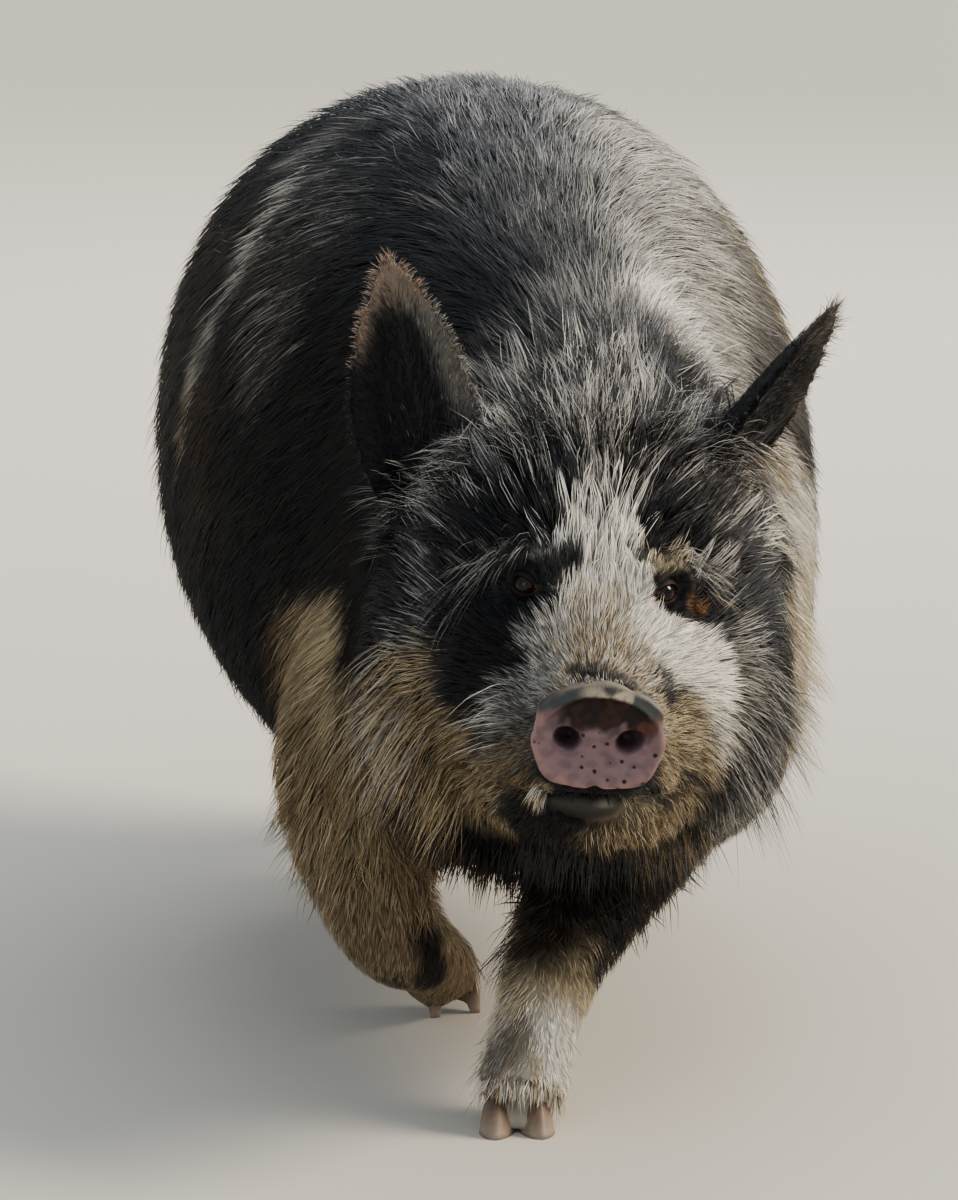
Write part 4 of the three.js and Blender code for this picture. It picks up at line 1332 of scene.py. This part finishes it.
# Keratin hair: each keeps its own colour, with painted shade darkening it towards its root and painted light
# at its tip, a soft sheen and a little dust.
coat_hair, tree, shader = material("keratin_hair")
colour = add(tree, "Attribute", attribute_name="hair_colour").outputs["Color"]
place = add(tree, "TexCoord").outputs["Object"]
dust = add(tree, "TexNoise", {"Vector": place, "Scale": 55.0, "Detail": 3.0}).outputs["Fac"]
dusted = add(tree, "MixRGB", {"Fac": 0.25, "Color1": colour, "Color2": dust}, blend_type="OVERLAY")
tree.links.new(dusted.outputs[0], shader.inputs["Base Color"])
shader.inputs["Roughness"].default_value = 0.42
shader.inputs["Specular IOR Level"].default_value = 0.45


def varied(colours, spread, chance):
    """Colours made lighter or darker by chance, a colour for each hair."""
    return colours * (2.0 ** chance.normal(0, spread, len(colours)))[:, None]


def hair_object(name, axis, paths, normals, widths, colours, roots, slot="coat_black"):
    """One piece of coat from the paths of its hairs on the straight pig."""
    points, faces = spindles(paths, normals, widths)
    count, each = points.shape[:2]
    mesh = bpy.data.meshes.new(name)
    mesh.vertices.add(count * each)
    standing = bent(points.reshape(-1, 3))
    standing[:, 2] = np.maximum(standing[:, 2], OVER_FLOOR)
    mesh.vertices.foreach_set("co", standing.astype(np.float32).ravel())
    mesh.loops.add(faces.size)
    mesh.loops.foreach_set("vertex_index", faces.astype(np.int32).ravel())
    mesh.polygons.add(len(faces))
    mesh.polygons.foreach_set("loop_start", np.arange(0, faces.size, 3, dtype=np.int32))
    mesh.update(calc_edges=True)
    mesh.shade_smooth()
    rings = (each - 2) // 3
    # Each hair is painted darker towards its root and lighter at its tip: painted shade within the coat,
    # painted light on the tips.
    ring_painted_shades = np.linspace(ROOT_PAINTED_SHADE, 1, rings + 1)[1:]
    shade = np.concatenate([[ROOT_PAINTED_SHADE], np.repeat(ring_painted_shades, 3), [TIP_PAINTED_LIGHT]])
    put_colours(mesh, "hair_colour", (colours[:, None] * shade[:, None]).reshape(-1, 3))
    spread = np.random.default_rng(11).uniform(-0.5, 0.5, (count * each, 2)) * TUFT_PATCH
    flat = np.repeat(unwrapped(roots, axis), each, axis=0) + spread
    layer = mesh.uv_layers.new(name="OFBake")
    layer.uv.foreach_set("vector", flat[faces.ravel()].astype(np.float32).ravel())
    mesh.materials.append(coat_hair)
    made = placed(name, mesh)
    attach(made, "root")


def coat_piece(name, chosen, count, width, seed, axis, lock=7, pull=0.5, steps=3, lift=(0.55, 1.3),
               wave=0.5, longer=1.0, kin=0.62, even=0.25, slot="coat_black"):
    """Grows one piece of coat on the chosen triangles of the hide. lock and pull gather the hairs, lift
    raises them, wave swirls them, kin is how alike a lock's colours are, and even how far they blend."""
    chance = np.random.default_rng(seed)
    points, normals, places = scattered(chosen, count, chance)
    way = lie_of_coat(points, normals, places)
    swirl = wave * (0.26 * ripple(points, 0.030, seed) + 0.20 * ripple(points, 0.009, seed + 1))
    way = turned_about(way, normals, swirl + chance.normal(0, 0.12, count))
    length = longer * coat_length(points, places) * chance.uniform(0.6, 1.25, count)
    depth = np.maximum(coat_depth(points, places), LEAST_DEPTH)
    raised = depth * chance.uniform(*lift, count)
    t = np.linspace(0, 1, steps)
    paths = points[:, None] + way[:, None] * (length[:, None] * t)[..., None]
    heights = raised[:, None] * t[None] ** 0.75
    paths = laid_down(paths, heights)
    paths[:, 0] -= normals * ROOT_SUNK
    paths, owner = gathered(paths, lock, pull)
    of_lock, own = chance.uniform(0, 1, (2, count))
    pick = np.where(chance.uniform(0, 1, count) < kin, of_lock[owner], own)
    colours = (1 - even) * hair_colours(points, places, pick) + even * hair_colours(points, places)
    colours = varied(colours, HAIR_VARIES * (1 - even), chance)
    widths = width * chance.uniform(0.7, 1.3, count) * np.minimum(1, 0.45 + 0.55 * length / FULL_WIDTH_AT)
    hair_object(name, axis, paths, normals, widths, colours, points, slot)


fx, fy, fz = face_middle.T
head_face = of_part(face_part, "head", "lower_jaw", "eye", "snout")
neck_face = of_part(face_part, "neck")
ALONG_HEAD = (np.array([0, -0.5, 0.33]), np.array([0, 1.0, 0]), np.array([0, 0, 1.0]))
ALONG_BODY = (np.array([0, 0, 0.36]), np.array([0, 1.0, 0]), np.array([0, 0, 1.0]))
forehead = head_face & (fz > 0.415) & (fy > -0.515)
muzzle = head_face & (fy < -0.490) & ~forehead
cheeks = head_face & ~forehead & ~muzzle
left = fx > 0
chest = of_part(face_part, "trunk_chest")
barrel = of_part(face_part, "trunk_barrel")
rump = of_part(face_part, "trunk_rump")
facing_down = face_normal[:, 2] < -0.35
# Ways of growing: long and loose, flat and calm, shaggy on the forehead, and wisps that stand over the rest
LONG = {"steps": 4, "lift": (0.6, 1.7), "lock": 6}
CALM = {"wave": 0.22, "lift": (0.45, 1.1), "even": 0.45}
SHAGGY = {**LONG, "pull": 0.78, "lock": 10, "lift": (0.8, 2.6), "longer": 1.3, "kin": 0.86, "even": 0.1}
WISPS = {**LONG, "longer": 0.95, "lift": (0.9, 1.4), "even": 0.4}
BELLY_WISPS = {**LONG, "longer": 0.75, "lift": (0.8, 1.7), "wave": 1.0}
BACK_WISPS = {**LONG, "longer": 1.2, "lift": (0.8, 1.5), "wave": 0.4}


def both_sides(name, chosen, *rest):
    """A row for the pig's left side and one for its right."""
    return [(name + "_left", chosen & left, *rest), (name + "_right", chosen & ~left, *rest)]


# The name, triangles, number of hairs, their width, the axis and the way it grows
PIECES = [
    ("coat_muzzle", muzzle, 20000, 0.0007, ALONG_HEAD, {"lock": 5, "pull": 0.45, "lift": (0.8, 2.2)}),
    ("coat_forehead", forehead, 11500, 0.00088, ALONG_HEAD, SHAGGY),
    *both_sides("coat_cheek", cheeks, 8200, 0.0009, ALONG_HEAD, LONG),
    *both_sides("coat_neck", neck_face, 12000, 0.0010, ALONG_BODY, CALM),
    *both_sides("coat_chest", chest, 12000, 0.0011, ALONG_BODY, CALM),
    *both_sides("coat_flank", barrel, 15200, 0.0012, ALONG_BODY, CALM),
    ("coat_rump", rump, 13200, 0.0013, ALONG_BODY, CALM),
    ("coat_ears", of_part(face_part, "ear"), 10000, 0.0007, ALONG_HEAD, {"lock": 4, "pull": 0.3}),
    ("coat_tail", of_part(face_part, "tail"), 2500, 0.0011, ALONG_BODY, {"steps": 4}),
    *both_sides("coat_wisps", chest | neck_face, 1700, 0.0009, ALONG_BODY, WISPS),
    ("coat_wisps_belly", (chest | barrel | rump) & facing_down, 1300, 0.0010, ALONG_BODY, BELLY_WISPS),
    ("coat_wisps_back", barrel | rump, 2100, 0.0009, ALONG_BODY, BACK_WISPS),
]
LEG_HAIRS = {"foreleg": 8000, "hindleg": 5300}
for name in ("foreleg_left", "foreleg_right", "hindleg_left", "hindleg_right"):
    axis = (np.mean(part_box(name + "_lower"), axis=0) - ORIGIN, DOWN, BACK)
    slot = "coat_cream" if name == "foreleg_right" else "coat_black"
    settings = {"slot": slot, "lift": (0.6, 1.5), "even": 0.6}
    count = LEG_HAIRS[name.split("_")[0]]
    PIECES.append(("coat_" + name, of_part(face_part, name), count, 0.0010, axis, settings))
for place, (name, chosen, count, width, axis, settings) in enumerate(PIECES):
    coat_piece(name, chosen, count, width, place * 10 + 20, axis, **settings)

# ---- Ear rims ----
# Soft hair stands out all round the rim of each ear, longest at the tip. It grows from the skin's own edge,
# and is finer than the hair of the coat.
RIM_WIDE = 0.007
RIM_FROM = {"ear_right": 0.012, "ear_left": 0.030}
RIM_LENGTH = {"ear_right": (0.009, 0.013), "ear_left": (0.009, 0.018)}
RIM_TIP = (0.045, 0.010)
RIM_COUNT = 1300
RIM_HAIR_WIDTH = 0.0005
RIM_VARIES = 0.25
STANDING_STEPS = 4


def sprung(points, ways, lengths, droop):
    """Hairs that leave the skin freely and bend down under their weight."""
    t = np.linspace(0, 1, STANDING_STEPS)
    fall = (droop * lengths)[:, None] * t**2
    return points[:, None] + ways[:, None] * (lengths[:, None] * t)[..., None] + DOWN * fall[..., None]


def joined(batches):
    """Batches of paths, outward ways, widths, colours and roots, each kind in one array."""
    return [np.concatenate(kind) for kind in zip(*batches)]


chance = np.random.default_rng(71)
batches = []
for name, start in RIM_FROM.items():
    gaps, _, place = inside_ear_edge(face_middle, name)
    chosen = of_part(face_part, name) & (gaps.min(1) < RIM_WIDE) & (place > start)
    points, normals, places = scattered(chosen, RIM_COUNT, chance)
    gaps, edge_way, _ = inside_ear_edge(points, name)
    tipwards = ear_blades[name][1]
    ways = unit(edge_way * 0.8 + tipwards * 0.7 + normals * 0.25 + chance.normal(0, 0.36, (RIM_COUNT, 3)))
    short, long = RIM_LENGTH[name]
    lengths = (short + (long - short) * step(*RIM_TIP, gaps[:, 2])) * chance.uniform(0.5, 1.3, RIM_COUNT)
    paths = gathered(sprung(points - normals * ROOT_SUNK, ways, lengths, 0.15), 5, 0.4)[0]
    colours = varied(hair_colours(points, places, chance.uniform(0, 1, RIM_COUNT)), RIM_VARIES, chance)
    widths = RIM_HAIR_WIDTH * chance.uniform(0.7, 1.2, RIM_COUNT)
    batches.append((paths, normals, widths, colours, points))
hair_object("coat_ear_rims", ALONG_HEAD, *joined(batches))

# ---- Standing hairs ----
# Long hairs stand out of the coat, singly or in thin locks: brows and lashes, whiskers, bristles on the
# chin, the topknot, wisps at the roots of the ears, the beard, and the fringe under the chest.
# Blue-grey hairs among the tufts are black hair with a painted sheen.
BLACK_EAR = "black black black silver"
# centre, radius, number, length, way, share outward, droop, scatter, width and colours, with sizes in mm
TUFTS = {
    "coat_brows": [
        ((68, -474, 434), 16, 56, 27, (0.55, -0.25, 0), 0.9, 0.55, 0.42, 0.45, "silver grey white dark"),
        ((88, -466, 422), 16, 60, 32, (0.8, -0.1, -0.2), 0.8, 0.55, 0.42, 0.45, "cream silver grey dark"),
        ((50, -485, 436), 9, 30, 18, (0.3, -0.3, 0.3), 0.9, 0.3, 0.3, 0.5, "silver cream dark"),
        ((-60, -478, 438), 18, 60, 32, (-0.2, -0.25, -0.2), 1, 0.8, 0.5, 0.45, "silver grey silver dark"),
        ((-84, -468, 424), 18, 60, 36, (-0.55, -0.1, -0.3), 0.8, 0.6, 0.5, 0.45, "grey silver silver dark"),
        ((-104, -456, 396), 18, 60, 34, (-0.4, -0.1, -0.5), 0.7, 0.5, 0.5, 0.45, "grey silver dark"),
        ((79, -487, 402), 6, 30, 10, (0.8, -0.1, -0.2), 0.6, 0.3, 0.35, 0.5, "ginger ginger tan"),
    ],
    "coat_whiskers": [
        ((-62, -560, 340), 16, 12, 58, (-0.8, -0.1, 0.1), 0.9, 0.55, 0.3, 0.5, "white silver"),
        ((-60, -566, 318), 12, 8, 50, (-0.9, -0.2, 0), 0.8, 0.3, 0.3, 0.5, "white cream"),
        ((82, -520, 330), 18, 14, 52, (0.9, -0.1, 0), 0.8, 0.6, 0.3, 0.5, "white silver"),
        ((0, -610, 372), 14, 14, 16, (0, -0.3, 0.6), 0.9, 0.05, 0.3, 0.5, "black dark"),
        ((-38, -607, 281), 8, 70, 16, (-0.35, -0.1, -0.7), 0.6, 0.4, 0.32, 0.7, "cream white tan"),
        ((30, -575, 246), 30, 190, 17, (0.3, -0.1, -0.8), 0.6, 0.15, 0.35, 0.6, "cream brown tan black"),
        ((-12, -604, 268), 14, 60, 9, (-0.1, -0.2, -0.9), 0.6, 0.2, 0.4, 0.6, "black dark black"),
        ((60, -540, 246), 24, 110, 20, (0.4, -0.1, -0.8), 0.5, 0.25, 0.3, 0.6, "tan cream brown"),
        ((-10, -560, 236), 26, 90, 16, (0, -0.1, -0.9), 0.6, 0.15, 0.3, 0.6, "black dark brown"),
    ],
    "coat_topknot": [
        ((0, -425, 512), 30, 220, 72, (0, -0.2, 0.9), 0.9, 0.35, 0.28, 0.7, "silver black grey black white"),
        ((-46, -415, 505), 30, 200, 70, (-0.45, -0.2, 0.8), 0.9, 0.35, 0.28, 0.7, "black black silver slate"),
        ((52, -410, 508), 30, 200, 70, (0.45, -0.2, 0.75), 0.9, 0.35, 0.28, 0.7, "black silver black grey"),
        ((96, -380, 492), 22, 120, 62, (0.8, -0.1, 0.35), 0.8, 0.5, 0.28, 0.7, "black silver dark"),
        ((-92, -390, 480), 22, 140, 62, (-0.8, -0.1, 0.35), 0.8, 0.5, 0.28, 0.7, "black black silver"),
        ((0, -345, 556), 34, 160, 66, (0, 0.3, 0.5), 0.9, 0.5, 0.28, 0.8, "black silver slate white"),
    ],
    "coat_ear_wisps": [
        ((-96, -372, 470), 16, 90, 52, (0.55, -0.3, 0.55), 0.7, 0.35, 0.24, 0.6, "white silver black"),
        ((-126, -362, 448), 24, 200, 46, (-0.6, -0.1, 0.55), 0.7, 0.25, 0.26, 0.7, BLACK_EAR),
        ((-134, -356, 420), 24, 120, 44, (-0.7, -0.1, 0.3), 0.7, 0.3, 0.26, 0.7, "black black grey"),
        ((-104, -385, 455), 20, 60, 44, (-0.65, -0.2, 0.5), 0.8, 0.25, 0.3, 0.55, "white silver"),
        ((84, -262, 552), 30, 150, 56, (0, 0.6, 0.35), 0.9, 0.5, 0.24, 0.8, "white white silver"),
        ((104, -366, 486), 16, 70, 40, (0.7, -0.2, 0.35), 0.7, 0.4, 0.28, 0.6, "cream silver dark"),
        ((126, -340, 482), 20, 130, 44, (0.85, 0.1, 0.05), 0.7, 0.45, 0.35, 0.65, "white cream silver tan"),
        ((178, -205, 452), 34, 150, 42, (0.9, 0, 0.15), 0.6, 0.45, 0.32, 0.7, "cream white silver tan"),
        ((134, -330, 450), 22, 130, 46, (0.8, 0.1, -0.2), 0.6, 0.5, 0.35, 0.65, "white cream silver"),
    ],
    "coat_beard": [
        ((-118, -450, 300), 34, 240, 58, (-0.35, 0.1, -0.85), 0.5, 0.45, 0.3, 0.75, "cream tan brown silver"),
        ((-96, -470, 268), 30, 200, 50, (-0.25, 0.1, -0.85), 0.5, 0.4, 0.3, 0.75, "tan brown cream"),
        ((-140, -415, 330), 26, 150, 56, (-0.55, 0.2, -0.65), 0.5, 0.45, 0.3, 0.75, "cream silver tan dark"),
        ((122, -452, 290), 34, 220, 54, (0.4, 0.1, -0.75), 0.5, 0.45, 0.3, 0.75, "grey slate silver black"),
        ((140, -415, 330), 26, 140, 54, (0.6, 0.2, -0.55), 0.5, 0.45, 0.3, 0.75, "silver slate black"),
        ((0, -500, 218), 50, 260, 40, (0, 0.15, -0.9), 0.6, 0.2, 0.34, 0.75, "black dark black"),
        ((76, -440, 212), 36, 190, 40, (0.2, 0, -0.9), 0.5, 0.3, 0.34, 0.75, "tan grey brown black"),
    ],
    "coat_fringe": [
        ((-20, -385, 165), 60, 460, 52, (0, 0.1, -1), 0.5, 0.15, 0.42, 1.1, "black black dark"),
        ((60, -370, 180), 50, 240, 36, (0.05, 0.1, -1), 0.25, 0.15, 0.3, 1, "black black slate"),
        ((-90, -360, 190), 50, 420, 40, (-0.15, 0.1, -1), 0.5, 0.15, 0.5, 1.3, "black dark brown"),
        ((-40, -330, 165), 50, 360, 34, (-0.15, 0.1, -1), 0.5, 0.15, 0.55, 1.5, "black black dark"),
        ((168, -292, 330), 44, 200, 40, (0.65, 0, -0.6), 0.6, 0.45, 0.3, 0.8, "cream white cream tan"),
        ((176, -288, 270), 34, 160, 38, (0.6, 0, -0.7), 0.6, 0.45, 0.3, 0.8, "cream white silver"),
        ((-170, -280, 250), 60, 300, 44, (-0.4, 0, -0.9), 0.5, 0.35, 0.28, 0.85, "cream tan cream brown"),
        ((-184, -250, 180), 50, 220, 34, (-0.3, 0.05, -0.95), 0.5, 0.3, 0.28, 0.85, "tan cream brown"),
    ],
}
TUFT_SUNK = 0.001
TUFT_VARIES = 0.25
FRINGE_LOCKS = {"lock": 9, "pull": 0.6}
# Hair over each foot falls past the hair line of the claws, all round it.
FETLOCKS = {
    "foreleg_right": "cream tan white brown",
    "foreleg_left": "cream white white tan",
    "hindleg_left": "cream tan brown",
    "hindleg_right": "cream tan brown",
}
ABOVE_CLAWS = np.array([0, 0.008, 0.004])
TO_HEEL = np.array([0, 20, 30])


def top_of(boxes, moved=0):
    """The middle of the top of these boxes together, moved this much, in mm on the straight pig."""
    low, high = np.min(boxes, (0, 1)), np.max(boxes, (0, 1))
    top = np.array([(low[0] + high[0]) / 2, (low[1] + high[1]) / 2, high[2]]) + moved
    return straight(top[None])[0] * 1000


rows = []
for foot, colours in FETLOCKS.items():
    top = top_of([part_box(foot + "_claw_left"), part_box(foot + "_claw_right")], ABOVE_CLAWS)
    rows.append((top, 36, 420, 27, (0, 0, -1), 0.25, 0, 0.16, 0.75, colours))
    rows.append((top + TO_HEEL, 40, 160, 30, (0, 0.3, -1), 0.4, 0, 0.22, 0.75, colours))
    for claw in [name for name in CLAWS if name.startswith(foot)]:
        top = top_of([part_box(claw)])
        if "dewclaw" in claw:
            rows.append((top, 18, 80, 20, (0, 0.3, -1), 0.3, 0, 0.25, 0.7, colours))
        else:
            rows.append((top, 20, 120, 17, (0, -0.15, -1), 0.3, 0, 0.22, 0.8, colours))
TUFTS["coat_fetlocks"] = rows


def tuft_piece(name, rows, seed, axis, lock=4, pull=0.30):
    """Grows the hairs of these rows in one piece."""
    chance = np.random.default_rng(seed)
    batches = []
    for centre, radius, count, length, way, outward_share, droop, scatter, width, names in rows:
        chosen = np.linalg.norm(face_middle - np.array(centre) / 1000, axis=1) < radius / 1000
        points, normals, _ = scattered(chosen, count, chance)
        ways = unit(np.array(way, float)) + normals * outward_share
        ways = unit(ways + chance.normal(0, scatter, (count, 3)))
        lengths = length / 1000 * chance.uniform(0.55, 1.2, count)
        paths = sprung(points - normals * TUFT_SUNK, ways, lengths, droop * chance.uniform(0.6, 1.4, count))
        paths = gathered(paths, lock, pull)[0]
        paints = np.array([linear(HAIR[tint])[:3] for tint in names.split()])
        colours = varied(paints[chance.integers(0, len(paints), count)], TUFT_VARIES, chance)
        widths = width / 1000 * chance.uniform(0.7, 1.2, count)
        batches.append((paths, normals, widths, colours, points))
    hair_object(name, axis, *joined(batches))


for place, (name, rows) in enumerate(TUFTS.items()):
    if name == "coat_fringe":
        tuft_piece(name, rows, 500 + place, ALONG_BODY, **FRINGE_LOCKS)
    else:
        tuft_piece(name, rows, 500 + place, ALONG_HEAD)
